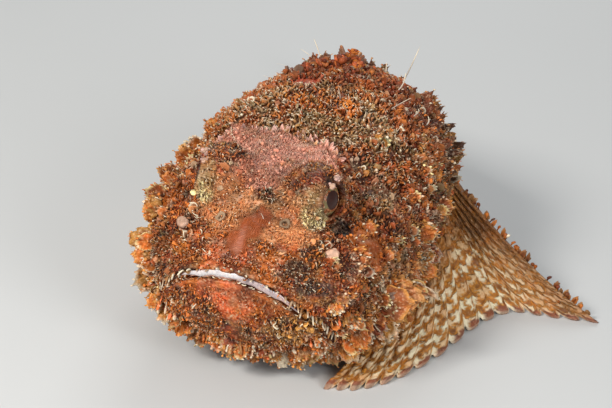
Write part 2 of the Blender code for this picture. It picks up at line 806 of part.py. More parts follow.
def caudal_fin():
    """The tail fin, half folded, its lower edge on the floor."""
    rows = 5
    rays = []
    for k in range(TAIL_RAYS):
        t = 2 * k / (TAIL_RAYS - 1) - 1
        root = (BODY_END + GAP, (15 + 7.4 * t) * MM)
        size = TAIL_FIN_LENGTH * (1 - 0.10 * t * t)
        angle = math.radians(5 * t - 2)
        ray = []
        for r in range(rows):
            far = size * r / (rows - 1)
            z = max(root[1] + far * math.sin(angle), (k + 1) * MM)
            ray.append(place(root[0] + far * math.cos(angle), 0.0, z))
        rays.append(ray)
    thick = np.array([3.2, 2.0, 1.3, 1.0, 0.7]) * MM
    web = np.array([2.9, 1.5, 0.8, 0.6, 0.4]) * MM
    fin = fin_sheet("caudal_fin", rays, thick, web, 0.25)
    return keep_largest(fin)


def build():
    """Make every node of the fish."""
    clear_scene()
    red = material("brick_red_skin", (0.42, 0.11, 0.04), 0.6)
    rust = material("rust_skin", (0.36, 0.12, 0.05), 0.65)
    brown = material("brown_fin", (0.38, 0.17, 0.07), 0.55)
    eye = material("dark_eye", (0.05, 0.03, 0.02), 0.15)
    head, jaw = head_and_jaw()
    dressed = {
        red: [head, jaw],
        rust: [torso(), tail_stalk()],
        brown: [
            pectoral_fin("pectoral_fin_left", SIDES["left"], LEFT_REACH),
            pectoral_fin("pectoral_fin_right", SIDES["right"], RIGHT_REACH),
            pelvic_fin("pelvic_fin_left", SIDES["left"]),
            pelvic_fin("pelvic_fin_right", SIDES["right"]),
            spiny_dorsal(), soft_dorsal(), anal_fin(), caudal_fin(),
        ],
        eye: eyes(),
    }
    for finish, things in dressed.items():
        for thing in things:
            thing.data.materials.clear()
            thing.data.materials.append(finish)
            thing.data.shade_smooth()
            thing.data.set_sharp_from_angle(angle=math.radians(40))


build()
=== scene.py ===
# %% [markdown]
# # A spotted scorpionfish, life size
#
# A scorpionfish hides by looking like a stone that things grow on. Its skin carries
# thousands of small fleshy threads and flaps, in every warm colour, so the work here is
# a body of the right shape, one skin over it, and then coat after coat of small growths.
# The solids that come with the frame already give each part its place and size.

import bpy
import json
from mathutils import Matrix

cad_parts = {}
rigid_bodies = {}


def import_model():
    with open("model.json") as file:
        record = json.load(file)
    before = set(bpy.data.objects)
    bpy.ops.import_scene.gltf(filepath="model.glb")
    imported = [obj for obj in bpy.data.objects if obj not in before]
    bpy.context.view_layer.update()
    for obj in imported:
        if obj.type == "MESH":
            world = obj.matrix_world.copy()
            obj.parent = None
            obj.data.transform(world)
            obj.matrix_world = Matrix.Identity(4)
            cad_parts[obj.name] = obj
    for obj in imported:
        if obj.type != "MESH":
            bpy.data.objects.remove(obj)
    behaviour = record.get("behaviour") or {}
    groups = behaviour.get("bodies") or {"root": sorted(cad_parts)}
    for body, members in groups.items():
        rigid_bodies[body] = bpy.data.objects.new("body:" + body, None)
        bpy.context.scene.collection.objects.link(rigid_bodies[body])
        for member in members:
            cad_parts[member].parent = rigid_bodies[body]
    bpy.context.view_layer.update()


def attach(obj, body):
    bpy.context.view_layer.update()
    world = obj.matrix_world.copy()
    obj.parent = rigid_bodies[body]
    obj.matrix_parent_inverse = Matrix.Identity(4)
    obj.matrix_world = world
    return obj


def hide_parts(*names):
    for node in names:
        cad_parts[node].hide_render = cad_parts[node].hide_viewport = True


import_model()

# %% Tools and units
import itertools
import json
import math
import random

import bpy
import numpy as np
from mathutils import Matrix, Vector
from mathutils.bvhtree import BVHTree

MM = 0.001
scene = bpy.context.scene
draw = random.Random(7)
between = draw.uniform
norm = np.linalg.norm
SIDES = {"left": 1.0, "right": -1.0}


def jitter(most):
    """A chance offset: three numbers from -most to most."""
    return np.array([between(-most, most) for _ in range(3)])

# %% [markdown]
# ## Camera, floor and light
#
# The fish is seen from in front, a little to its left and from above, through a long lens.
# The camera's turn and height are named angles about a point between the eyes. A small
# shift puts that point left of the middle of the picture, as a crop would.
# A lamp behind the camera would flatten the skin, so large soft lamps stand high at the
# left and lower at the right, and a third behind the fish draws its upper edge.

# %% Camera
LOOK_AT = Vector((0.0, -72.0, 60.0)) * MM
CAMERA_TURN = math.radians(18)
CAMERA_HEIGHT = math.radians(24)
CAMERA_ROLL = math.radians(5)
CAMERA_DISTANCE = 450 * MM
LENS_MM = 87.35
SHIFT = (38 / 612, -18 / 612)


def camera_frame():
    """The camera's right, up and backward directions."""
    back = Vector((
        math.sin(CAMERA_TURN) * math.cos(CAMERA_HEIGHT),
        -math.cos(CAMERA_TURN) * math.cos(CAMERA_HEIGHT),
        math.sin(CAMERA_HEIGHT),
    ))
    right = Vector((math.cos(CAMERA_TURN), math.sin(CAMERA_TURN), 0.0))
    up = back.cross(right)
    rolled_right = right * math.cos(CAMERA_ROLL) + up * math.sin(CAMERA_ROLL)
    rolled_up = up * math.cos(CAMERA_ROLL) - right * math.sin(CAMERA_ROLL)
    return rolled_right, rolled_up, back


right_way, up_way, back_way = camera_frame()
camera = bpy.data.objects.new("camera", bpy.data.cameras.new("camera"))
scene.collection.objects.link(camera)
turn = Matrix((right_way, up_way, back_way)).transposed().to_4x4()
camera.matrix_world = Matrix.Translation(LOOK_AT + back_way * CAMERA_DISTANCE) @ turn
camera.data.lens = LENS_MM
camera.data.shift_x, camera.data.shift_y = SHIFT
scene.camera = camera
scene.view_settings.view_transform = "Standard"
print("camera at", [round(v, 3) for v in camera.location])

# %% Lamps
# Each lamp: name, place in metres, width in metres, power in watts, colour.
LAMPS = [
    ("key", (-0.30, -0.66, 0.56), 0.22, 6.6, (1.0, 0.97, 0.93)),
    ("fill", (0.60, -0.44, 0.36), 0.36, 2.6, (0.96, 0.98, 1.0)),
    ("rim", (-0.15, 0.62, 0.60), 0.45, 2.4, (1.0, 1.0, 1.0)),
]
for name, place, width, power, colour in LAMPS:
    lamp = bpy.data.objects.new(name, bpy.data.lights.new(name, "AREA"))
    scene.collection.objects.link(lamp)
    lamp.data.size = width
    lamp.data.energy = power
    lamp.data.color = colour
    lamp.location = place
    lamp.rotation_euler = (Vector((0, 0, 0.03)) - Vector(place)).to_track_quat("-Z", "Y").to_euler()
world = bpy.data.worlds.new("studio")
world.use_nodes = True
world.node_tree.nodes["Background"].inputs["Color"].default_value = (0.84, 0.86, 0.88, 1.0)
world.node_tree.nodes["Background"].inputs["Strength"].default_value = 0.30
scene.world = world

# %% [markdown]
# ## Materials
#
# Fish skin is never one colour. Painted images could show that, but they would be fixed in
# size and place. Here each material starts from a colour that is stored in the mesh, the
# same for the skin and for what grows on it, and breaks it up with noise.
# The break-up is a node group, because skin, fins and flaps all use it.
# Object coordinates keep the pattern still on the fish.

# %% Helpers for node trees
def feed(tree, socket, value):
    """Give an input a value, or a wire from another node's output."""
    if isinstance(value, bpy.types.NodeSocket):
        tree.links.new(value, socket)
    else:
        socket.default_value = value


def add(tree, kind, inputs=None, **settings):
    """A new node with some of its settings, and its inputs by name or number."""
    made = tree.nodes.new(kind)
    for name, value in settings.items():
        setattr(made, name, value)
    for key, value in (inputs or {}).items():
        feed(tree, made.inputs[key], value)
    return made


def maths(tree, operation, a, b=0.0):
    """One step of arithmetic."""
    return add(tree, "ShaderNodeMath", {0: a, 1: b}, operation=operation).outputs[0]


def blend(tree, factor, a, b, mode="MIX"):
    """Two colours mixed by a factor."""
    inputs = {"Factor": factor, "A": a, "B": b}
    return add(tree, "ShaderNodeMix", inputs, data_type="RGBA", blend_type=mode).outputs["Result"]


def ease(tree, value, low, high):
    """Rise smoothly from 0 at low to 1 at high."""
    inputs = {"Value": value, "From Min": low, "From Max": high}
    return add(tree, "ShaderNodeMapRange", inputs, interpolation_type="SMOOTHSTEP").outputs["Result"]


def stored(tree, name, output="Fac"):
    """A value that is stored in the mesh."""
    return add(tree, "ShaderNodeAttribute", attribute_name=name).outputs[output]


def speckle(tree, size):
    """Noise over the object, its grains about one size across."""
    where = add(tree, "ShaderNodeTexCoord").outputs["Object"]
    inputs = {"Vector": where, "Scale": 1 / size, "Detail": 3.0}
    return add(tree, "ShaderNodeTexNoise", inputs).outputs["Fac"]


# %% Group that breaks up a colour
def group_of(name, inputs, outputs):
    """An empty shader group with its sockets."""
    tree = bpy.data.node_groups.new(name, "ShaderNodeTree")
    for label, kind in inputs:
        tree.interface.new_socket(label, in_out="INPUT", socket_type=kind)
    for label, kind in outputs:
        tree.interface.new_socket(label, in_out="OUTPUT", socket_type=kind)
    return tree, add(tree, "NodeGroupInput").outputs, add(tree, "NodeGroupOutput").inputs


def mottle_group():
    """Lighter, darker and redder grains in a colour."""
    tree, given, result = group_of(
        "Mottle", [("Colour", "NodeSocketColor"), ("Strength", "NodeSocketFloat")],
        [("Colour", "NodeSocketColor"), ("Height", "NodeSocketFloat")])
    fine = speckle(tree, 0.9 * MM)
    broad = speckle(tree, 4.5 * MM)
    dark = maths(tree, "MULTIPLY", ease(tree, fine, 0.56, 0.34), given["Strength"])
    light = maths(tree, "MULTIPLY", ease(tree, fine, 0.52, 0.70), given["Strength"])
    warm = maths(tree, "MULTIPLY", ease(tree, broad, 0.48, 0.62), given["Strength"])
    colour = blend(tree, warm, given["Colour"], (1.35, 0.80, 0.60, 1.0), "MULTIPLY")
    colour = blend(tree, dark, colour, (0.30, 0.24, 0.22, 1.0), "MULTIPLY")
    colour = blend(tree, light, colour, (0.85, 0.62, 0.40, 1.0))
    feed(tree, result["Colour"], colour)
    feed(tree, result["Height"], fine)
    return tree


mottle = mottle_group()
print("group sockets:", [s.name for s in mottle.interface.items_tree])


# %% Tones of this fish
# Linear colours, as seen in soft white light.
TONES = {
    "rust": (0.42, 0.125, 0.036),
    "brick": (0.46, 0.100, 0.030),
    "orange": (0.66, 0.190, 0.030),
    "gold": (0.72, 0.330, 0.075),
    "salmon": (0.74, 0.350, 0.250),
    "mound": (0.33, 0.070, 0.016),
    "amber": (0.42, 0.105, 0.012),
    "blush": (0.86, 0.220, 0.070),
    "maroon": (0.205, 0.042, 0.014),
    "lid": (0.42, 0.250, 0.100),
    "shell": (0.60, 0.370, 0.260),
    "tan": (0.58, 0.270, 0.095),
    "cream": (0.86, 0.740, 0.540),
    "olive": (0.24, 0.185, 0.080),
    "moss": (0.37, 0.215, 0.092),
    "brown": (0.16, 0.062, 0.022),
    "dark": (0.030, 0.016, 0.010),
    "red": (0.50, 0.060, 0.022),
    "pink": (0.78, 0.480, 0.400),
    "straw": (0.84, 0.700, 0.330),
    "peach": (0.80, 0.350, 0.140),
    "dusk": (0.42, 0.270, 0.160),
    "thread": (0.66, 0.560, 0.460),
}
ODD_TONES = [TONES[name] for name in ("orange", "olive", "brick", "tan", "dark")]


def toward(tint, tone, share):
    """Colours moved towards a tone, by a share for each point."""
    return tint + (np.asarray(tone) - tint) * share[:, None]


def some_tone(names, darkest, lightest):
    """One of several tones by chance, a little darker or lighter."""
    return np.array(TONES[draw.choice(names)]) * between(darkest, lightest)


# %% Group that colours a tuft from root to tip
def tuft_group():
    """Root darkened by painted shade, deeper where the coat is wild, then the skin's own colour, and a pale
    tip on some of the tufts.
    """
    numbers = [(label, "NodeSocketFloat") for label in ("Pick", "Tip", "Pale", "Wild")]
    tree, given, result = group_of(
        "Tuft colours", [("Tint", "NodeSocketColor"), *numbers], [("Colour", "NodeSocketColor")])
    second = maths(tree, "FRACT", maths(tree, "MULTIPLY", given["Pick"], 7.31))
    third = maths(tree, "FRACT", maths(tree, "MULTIPLY", given["Pick"], 23.7))
    bright = maths(tree, "ADD", 0.58, maths(tree, "MULTIPLY", second, 0.8))
    tone = blend(tree, 1.0, given["Tint"], bright, "MULTIPLY")
    other = add(tree, "ShaderNodeValToRGB", {"Fac": third})
    other.color_ramp.interpolation = "CONSTANT"
    for step, colour in enumerate(ODD_TONES):
        stop = other.color_ramp.elements[step] if step < 2 else other.color_ramp.elements.new(0.5)
        stop.position = step / len(ODD_TONES)
        stop.color = (*colour, 1.0)
    odd = maths(tree, "MULTIPLY", ease(tree, given["Pick"], 0.72, 0.76), given["Wild"])
    tone = blend(tree, maths(tree, "MULTIPLY", odd, 0.75), tone, other.outputs["Color"])
    # Painted shade at the root of each tuft, darker where the coat is wild.
    shade = blend(tree, given["Wild"], (0.38, 0.30, 0.26, 1.0), (0.15, 0.10, 0.08, 1.0))
    root = blend(tree, 1.0, tone, shade, "MULTIPLY")
    body = blend(tree, ease(tree, given["Tip"], 0.0, 0.55), root, tone)
    is_pale = ease(tree, maths(tree, "SUBTRACT", given["Pale"], second), -0.04, 0.04)
    share = maths(tree, "MULTIPLY", is_pale, ease(tree, given["Tip"], 0.60, 0.97))
    feed(tree, result["Colour"], blend(tree, share, body, (*TONES["cream"], 1.0)))
    return tree


tuft_colours = tuft_group()
print("tones:", len(TONES), "sockets of a tuft:", [s.name for s in tuft_colours.interface.items_tree])


# %% Materials for skin and growths
def surface_of(name, roughness, coat=0.0, coat_roughness=0.2, reflection=0.5):
    """A material with its tree and the inputs of its Principled shader."""
    made = bpy.data.materials.new(name)
    made.use_nodes = True
    shader = made.node_tree.nodes["Principled BSDF"].inputs
    shader["Roughness"].default_value = roughness
    shader["Coat Weight"].default_value = coat
    shader["Coat Roughness"].default_value = coat_roughness
    shader["Specular IOR Level"].default_value = reflection
    return made, made.node_tree, shader


def placed_group(tree, group, **values):
    """The outputs of a shader group in a material, with its inputs fed."""
    return add(tree, "ShaderNodeGroup", values, node_tree=group).outputs


def bump(tree, shader, strength, depth, height):
    """Let a height stand out of the surface."""
    inputs = {"Strength": strength, "Distance": depth, "Height": height}
    feed(tree, shader["Normal"], add(tree, "ShaderNodeBump", inputs).outputs["Normal"])


def grained(tree, shader, colour, strength, rise_strength, depth):
    """Give a surface a colour that is broken up by grains, which also stand out of it."""
    spread = placed_group(tree, mottle, Colour=colour, Strength=strength)
    feed(tree, shader["Base Color"], spread["Colour"])
    bump(tree, shader, rise_strength, depth, spread["Height"])


def skin_material():
    """Wet skin in the stored colours, with painted shade in its folds and between the growths, and a painted
    highlight on the crests of its wrinkles and lid ribs.
    """
    made, tree, shader = surface_of("wet_skin", 0.5, 0.10, 0.3, 0.25)
    wild = stored(tree, "wild")
    spread = placed_group(tree, mottle, Colour=stored(tree, "tint", "Color"), Strength=wild)
    level = maths(tree, "SUBTRACT", stored(tree, "relief"), maths(tree, "MULTIPLY", wild, 0.25))
    # Painted shade: darker where the skin lies low, in its folds and along the mouth.
    fold = blend(tree, ease(tree, level, 0.0, 0.5), (0.20, 0.16, 0.14, 1.0), (1.0, 1.0, 1.0, 1.0))
    wave = maths(tree, "SINE", maths(tree, "MULTIPLY", stored(tree, "ring"), math.tau))
    wave = maths(tree, "MULTIPLY", wave, 0.5)
    colour = blend(tree, 1.0, spread["Colour"], fold, "MULTIPLY")
    # Painted shade: the skin between the growths is darker where the coat is wild.
    colour = blend(tree, wild, colour, (0.62, 0.52, 0.48, 1.0), "MULTIPLY")
    # Painted highlight: the crests of the mound's wrinkles and of the lid ribs are paler and bluer.
    ridge = maths(tree, "MULTIPLY", ease(tree, wave, 0.0, 0.5), 0.32)
    painted_highlight = blend(tree, 1.0, colour, (1.7, 1.9, 2.1, 1.0), "MULTIPLY")
    feed(tree, shader["Base Color"], blend(tree, ridge, colour, painted_highlight))
    bump(tree, shader, 0.7, 0.4 * MM, maths(tree, "ADD", spread["Height"], wave))
    return made


def growth_colour(tree):
    """The tuft colours, from what is stored in a growth."""
    values = {label: stored(tree, label.lower()) for label in ("Pick", "Tip", "Pale", "Wild")}
    return placed_group(tree, tuft_colours, Tint=stored(tree, "tint", "Color"), **values)["Colour"]


def tuft_material():
    """Soft fleshy growths, coloured from root to tip."""
    made, tree, shader = surface_of("fleshy_growths", 0.48, 0.06, 0.2, 0.22)
    feed(tree, shader["Base Color"], growth_colour(tree))
    return made


def flap_material():
    """The same for large flaps, with grains on their faces."""
    made, tree, shader = surface_of("ribbed_flaps", 0.5, 0.06, 0.2, 0.25)
    grained(tree, shader, growth_colour(tree), 0.38, 0.9, 0.5 * MM)
    return made


skin_finish = skin_material()
tuft_finish = tuft_material()
flap_finish = flap_material()
print("materials:", [m.name for m in (skin_finish, tuft_finish, flap_finish)])

# %% [markdown]
# ## The form of the body
#
# The body could be sculpted freely, but then no later step would know where its parts lie.
# It is given as sections along its axis: half width, top, bottom and the level of the
# widest point. Between the rows a smooth curve is drawn, and each section is a rounded
# oval. A place on the body is then two numbers, the distance from the jaws and the angle
# round the section, which also serves as the unwrap of the skin.

# %% Sections and axis
# In mm: distance from the jaws, half width, top, bottom, level of the widest point.
SECTIONS = np.array([
    (0.5, 9.0, 42.5, 36.0, 39.5),
    (2.0, 16.0, 44.0, 29.0, 38.5),
    (5.0, 21.5, 46.5, 22.0, 37.0),
    (9.0, 26.5, 49.5, 16.5, 35.5),
    (14.0, 30.5, 53.0, 12.0, 34.0),
    (20.0, 33.5, 56.0, 8.5, 33.0),
    (28.0, 37.0, 58.5, 5.0, 32.5),
    (42.0, 41.0, 61.5, 1.5, 33.0),
    (58.0, 43.5, 66.0, -1.0, 34.5),
    (78.0, 43.5, 72.5, -1.5, 36.0),
    (100.0, 41.0, 76.0, -1.5, 36.0),
    (125.0, 37.0, 68.5, -1.5, 34.5),
    (150.0, 29.0, 55.5, -1.0, 29.0),
    (175.0, 18.0, 41.0, 2.5, 22.0),
    (200.0, 11.0, 30.5, 7.0, 18.0),
    (235.0, 7.0, 23.0, 7.0, 15.0),
]) * MM
TOP_POWER = 1.9
BOTTOM_POWER = 2.3
BODY_END = 235 * MM
HEAD_TO_ORIGIN = 100 * MM
BEND_START = 100 * MM
BEND_RADIUS = 300 * MM
BEND_LENGTH = 135 * MM
GILL_BACK = 104 * MM
GILL_LEVEL = 42 * MM
GILL_NAPE = 86 * MM
NAPE_LEVEL = 80 * MM
GILL_THROAT = 52 * MM
GILL_FLARE = 1.8 * MM
FLARE_START = 68 * MM


def through(table, s):
    """Rows of values at each s on smooth curves through a table whose first column is s."""
    knots = table[:, 0]
    s = np.clip(s, knots[0], knots[-1])
    i = np.clip(np.searchsorted(knots, s, side="right") - 1, 0, len(knots) - 2)
    span = (knots[i + 1] - knots[i])[:, None]
    t = (s - knots[i])[:, None] / span
    slopes = np.gradient(table[:, 1:], knots, axis=0)
    start = table[i, 1:] * (1 + 2 * t) * (1 - t) ** 2 + span * slopes[i] * t * (1 - t) ** 2
    end = table[i + 1, 1:] * t * t * (3 - 2 * t) + span * slopes[i + 1] * t * t * (t - 1)
    return start + end


def rise(value, low, high):
    """Rise smoothly from 0 at low to 1 at high, for arrays."""
    t = np.clip((value - low) / (high - low), 0.0, 1.0)
    return t * t * (3 - 2 * t)


def place(s, across, z):
    """World points from distances along the body and to its left, and heights."""
    along = np.maximum(s - BEND_START, 0.0)
    turned = np.minimum(along, BEND_LENGTH) / BEND_RADIUS
    past = np.maximum(along - BEND_LENGTH, 0.0)
    x = -BEND_RADIUS * (1 - np.cos(turned)) - past * np.sin(turned)
    y = np.minimum(s, BEND_START) - HEAD_TO_ORIGIN + BEND_RADIUS * np.sin(turned) + past * np.cos(turned)
    return np.stack([x + across * np.cos(turned), y + across * np.sin(turned), z], axis=-1)


def unbend(points):
    """Distance along the body and to its left, and height, of world points."""
    x, y, z = points.T
    behind = y > BEND_START - HEAD_TO_ORIGIN
    turned = np.arctan2(y - (BEND_START - HEAD_TO_ORIGIN), x + BEND_RADIUS)
    s = np.where(behind, BEND_START + turned * BEND_RADIUS, y + HEAD_TO_ORIGIN)
    across = np.where(behind, np.hypot(x + BEND_RADIUS, y - BEND_START + HEAD_TO_ORIGIN) - BEND_RADIUS, x)
    return s, across, z


def gill_edge(z):
    """s of the gill cover's rear edge at height z."""
    above = GILL_BACK - (GILL_BACK - GILL_NAPE) * ((z - GILL_LEVEL) / (NAPE_LEVEL - GILL_LEVEL)) ** 2
    below = GILL_BACK - (GILL_BACK - GILL_THROAT) * ((GILL_LEVEL - z) / GILL_LEVEL) ** 2
    return np.where(z > GILL_LEVEL, above, below)


# %% Swellings and hollows
# In mm: x, s, z, radius, height. Those with x above zero are on both sides.
FEATURES = np.array([
    (11.0, 30.0, 60.0, 9.5, 5.0),
    (0.0, 12.0, 52.0, 9.0, 2.2),
    (0.0, 36.0, 61.0, 10.0, 1.5),
    (0.0, 56.0, 66.0, 10.0, -2.0),
    (33.0, 30.0, 42.0, 11.0, 2.5),
    (28.0, 46.0, 54.0, 8.0, -3.0),
    (22.0, 66.0, 66.0, 11.0, 2.5),
]) * MM


def swelling(features, across, s, z):
    """Height of a list of swellings at points near the surface."""
    total = np.zeros_like(s)
    for x, along, level, radius, height in features:
        for side in ((-1, 1) if x > 0 else (1,)):
            far = (across - side * x) ** 2 + (s - along) ** 2 + (z - level) ** 2
            total += height * np.exp(-far / radius ** 2)
    return total


def body_surface(s, degrees, grow=0.0):
    """World points of the body's surface, grown outwards by grow."""
    width, top, bottom, level = through(SECTIONS, s).T
    cosine = np.cos(np.radians(degrees))
    sine = np.sin(np.radians(degrees))
    upper = sine >= 0
    reach = np.where(upper, top - level, level - bottom)
    power = np.where(upper, TOP_POWER, BOTTOM_POWER)
    lift = reach * np.sign(sine) * np.abs(sine) ** (2 / power)
    covered = rise(gill_edge(level + lift) - s, -0.4 * MM, 0.8 * MM)
    width = width + GILL_FLARE * rise(s, FLARE_START, GILL_BACK) * covered
    across = width * np.sign(cosine) * np.abs(cosine) ** (2 / power)
    out_across, out_up = across / width ** 2, lift / reach ** 2
    size = np.hypot(out_across, out_up)
    step = grow + swelling(FEATURES, across, s, level + lift)
    return place(s, across + out_across / size * step, level + lift + out_up / size * step)


def unwrap(points):
    """Angle round the section, in degrees, and the two numbers of the skin's unwrap."""
    s, across, z = unbend(points)
    width, top, bottom, level = through(SECTIONS, s).T
    upper = z >= level
    power = np.where(upper, TOP_POWER, BOTTOM_POWER)
    a = across / width
    b = (z - level) / np.where(upper, top - level, level - bottom)
    cosine = np.sign(a) * np.abs(a) ** (power / 2)
    sine = np.sign(b) * np.abs(b) ** (power / 2)
    degrees = np.degrees(np.arctan2(sine, cosine))
    round_it = ((degrees + 90) % 360) / 360
    return degrees, np.stack([0.02 + 0.96 * s / BODY_END, 0.02 + 0.96 * round_it, 0 * s], axis=-1)


print("belly to back at the shoulders, mm:", np.round(through(SECTIONS, np.array([0.1]))[0, 1:3] * 1000, 1))

# %% [markdown]
# ## Meshes in arrays
#
# Most pieces here are thousands of small like shapes. Building them face by face would
# take minutes, so vertices and triangles are kept as arrays and handed over in one go.
# A grid, a tube and a closed end are enough to make all of them.

# %% Mesh helpers
def mesh_piece(name, points, faces, finish=None, smooth=True, **fields):
    """An object from arrays of points and triangles or quads, with values stored in its points."""
    faces = np.asarray(faces)
    mesh = bpy.data.meshes.new(name)
    mesh.vertices.add(len(points))
    mesh.vertices.foreach_set("co", np.asarray(points, np.float32).ravel())
    corners = faces.shape[1]
    mesh.loops.add(faces.size)
    mesh.loops.foreach_set("vertex_index", faces.ravel().astype(np.int32))
    mesh.polygons.add(len(faces))
    mesh.polygons.foreach_set("loop_start", np.arange(0, faces.size, corners, dtype=np.int32))
    mesh.polygons.foreach_set("use_smooth", np.full(len(faces), smooth))
    mesh.update(calc_edges=True)
    for label, values in fields.items():
        store(mesh, label, values)
    if finish:
        mesh.materials.append(finish)
    made = bpy.data.objects.new(name, mesh)
    scene.collection.objects.link(made)
    return made


def store(mesh, label, values):
    """Keep a number, a direction or a colour in each point of a mesh."""
    values = np.asarray(values, np.float32)
    if values.ndim == 1:
        mesh.attributes.new(label, "FLOAT", "POINT").data.foreach_set("value", values)
    elif label == "tint":
        four = np.ones((len(values), 4), np.float32)
        four[:, :3] = values
        mesh.attributes.new(label, "FLOAT_COLOR", "POINT").data.foreach_set("color", four.ravel())
    else:
        mesh.attributes.new(label, "FLOAT_VECTOR", "POINT").data.foreach_set("vector", values.ravel())


def grid_faces(rows, columns, closed=False):
    """Quads of a grid of points, row after row; closed joins the last column to the first."""
    r, c = np.meshgrid(np.arange(rows - 1), np.arange(columns if closed else columns - 1), indexing="ij")
    a = (r * columns + c).ravel()
    b = (r * columns + (c + 1) % columns).ravel()
    return np.stack([a, b, b + columns, a + columns], axis=1)


def halved(quads):
    """Quads as pairs of triangles."""
    return np.concatenate([quads[:, (0, 1, 2)], quads[:, (0, 2, 3)]])


def tube_arrays(centres, radii, sides, flat=1.0, across=None):
    """Points and triangles of a closed tube that narrows to a point at its end.

    flat narrows the section along the second direction, and across fixes the first.
    """
    centres = np.asarray(centres, float)
    ahead = np.gradient(centres, axis=0)
    ahead /= norm(ahead, axis=1)[:, None]
    if across is None:
        first = np.cross(ahead, (0, 0, 1.0))
    else:
        first = np.tile(np.asarray(across, float), (len(centres), 1))
    first /= norm(first, axis=1)[:, None]
    second = np.cross(ahead, first)
    turns = np.arange(sides) * math.tau / sides
    radii = np.asarray(radii)[:, None, None]
    beside = first[:, None] * (np.cos(turns)[None, :, None] * radii)
    rings = centres[:, None] + beside + second[:, None] * (np.sin(turns)[None, :, None] * radii * flat)
    body = rings[:-1].reshape(-1, 3)
    points = np.concatenate([body, centres[-1:], centres[:1]])
    count = len(centres) - 1
    tip, base = len(body), len(body) + 1
    k = np.arange(sides)
    last = (count - 1) * sides
    end = np.stack([last + k, last + (k + 1) % sides, np.full(sides, tip)], axis=1)
    start = np.stack([(k + 1) % sides, k, np.full(sides, base)], axis=1)
    return points, np.concatenate([halved(grid_faces(count, sides, closed=True)), end, start])


def joined(parts):
    """Several pairs of points and faces as one."""
    points = []
    faces = []
    total = 0
    for some_points, some_faces in parts:
        points.append(some_points)
        faces.append(some_faces + total)
        total += len(some_points)
    return np.concatenate(points), np.concatenate(faces)


def outward(points, faces):
    """The same shell with its faces turned outwards."""
    a, b, c = points[faces[:, 0]], points[faces[:, 1]], points[faces[:, 2]]
    middle = points.mean(axis=0)
    volume = np.sum(np.cross(a - middle, b - middle) * (c - middle))
    return points, faces if volume > 0 else faces[:, ::-1]


def shell(first, second):
    """A closed shell between two grids of points, the one for its front and the one for its back."""
    rows, columns = first.shape[:2]
    layer = rows * columns
    quads = grid_faces(rows, columns)
    index = np.arange(layer).reshape(rows, columns)
    rim = np.concatenate([index[0], index[1:, -1], index[-1, -2::-1], index[-2:0:-1, 0]])
    after = np.roll(rim, -1)
    strip = np.stack([rim, after, after + layer, rim + layer], axis=1)
    faces = np.concatenate([halved(quads)[:, ::-1], halved(quads) + layer, halved(strip)])
    return outward(np.concatenate([first.reshape(-1, 3), second.reshape(-1, 3)]), faces)


def turn_to(axis):
    """The matrix that turns the Z axis to a direction."""
    return np.array(Vector(axis).to_track_quat("Z", "Y").to_matrix())


# %% Noise for shapes
def noise(points, size, seed):
    """Smooth random values from -1 to 1 that change over about one size."""
    grid = points / size + seed * 17.31
    cell = np.floor(grid).astype(np.int64)
    part = grid - cell
    part = part * part * (3 - 2 * part)
    total = np.zeros(len(points))
    for corner in itertools.product((0, 1), repeat=3):
        key = cell + np.array(corner)
        mix = (key[:, 0] * 73856093) ^ (key[:, 1] * 19349663) ^ (key[:, 2] * 83492791) ^ (seed * 2654435)
        mix = ((mix & 0xFFFFFFFF) ^ ((mix & 0xFFFFFFFF) >> 13)) * 1274126177 & 0xFFFFFFFF
        value = ((mix ^ (mix >> 16)) & 0xFFFF) / 0xFFFF
        total += value * np.prod(np.where(np.array(corner) == 1, part, 1 - part), axis=1)
    return total * 2 - 1


# %% [markdown]
# ## One skin
#
# Head, jaws and body share one skin without a seam. A loft gives the body, rolls are laid
# round the mouth for lips, and balls and rings are set in for the orbits and the lids.
# A voxel remesh melts them together, as a sculptor would smooth clay joints with a thumb.
# Then the skin is pushed in along the mouth, cut open at the eyes, and roughened.

# %% Body, mouth line and lips
SKIN_DEPTH = 0.9 * MM
GAPE_FRONT = 42.3 * MM
GAPE_SLOPE = 0.60
GAPE_ARCH = 14.0
LIP_RADIUS = 2.1 * MM
LIP_LIFT = 1.9 * MM


def body_arrays(rows, columns):
    """The body as a closed grid, flat where it lies on the floor."""
    s = (0.5 + 234.5 * np.linspace(0, 1, rows) ** 1.5) * MM
    degrees = np.arange(columns) * 360 / columns
    grid = body_surface(np.repeat(s, columns), np.tile(degrees, rows), -SKIN_DEPTH)
    grid[:, 2] = np.maximum(grid[:, 2], 0.0)
    faces = halved(grid_faces(rows, columns, closed=True))
    caps = []
    points = [grid]
    for row, way in ((0, 1), (rows - 1, -1)):
        k = np.arange(columns)
        ring = row * columns + k
        middle = np.full(columns, len(grid) + len(caps))
        points.append(grid[ring].mean(axis=0)[None])
        cap = np.stack([middle, ring, row * columns + (k + 1) % columns], axis=1)
        caps.append(cap[:, ::way])
    return np.concatenate(points), np.concatenate([faces[:, ::-1], *caps])


def tree_of(points, faces):
    """A search tree over a mesh in arrays."""
    return BVHTree.FromPolygons([tuple(p) for p in points], [tuple(f) for f in faces])


def mouth_line(tree, count):
    """Points where the gape meets the face, from corner to corner, each with its way out."""
    found = []
    for degrees in np.linspace(-78, 78, count):
        angle = math.radians(degrees)
        ahead = Vector((math.sin(angle), -math.cos(angle), 0.0))
        middle = Vector((0.0, 28 * MM - HEAD_TO_ORIGIN, 30 * MM))
        for _ in range(6):
            hit, out, _, _ = tree.ray_cast(middle + ahead * 80 * MM, -ahead)
            middle.z = GAPE_FRONT - GAPE_SLOPE * (hit.y + HEAD_TO_ORIGIN) - GAPE_ARCH * hit.x ** 2
        found.append((hit, out if out.dot(ahead) > 0 else -out))
    return np.array([p for p, _ in found]), np.array([o for _, o in found])


body_points, body_faces = body_arrays(170, 150)
mouth, mouth_out = mouth_line(tree_of(body_points, body_faces), 91)
mouth_share = np.linspace(-1, 1, len(mouth))
print("mouth from corner to corner, mm:", round(float(norm(mouth[0] - mouth[-1])) * 1000, 1))

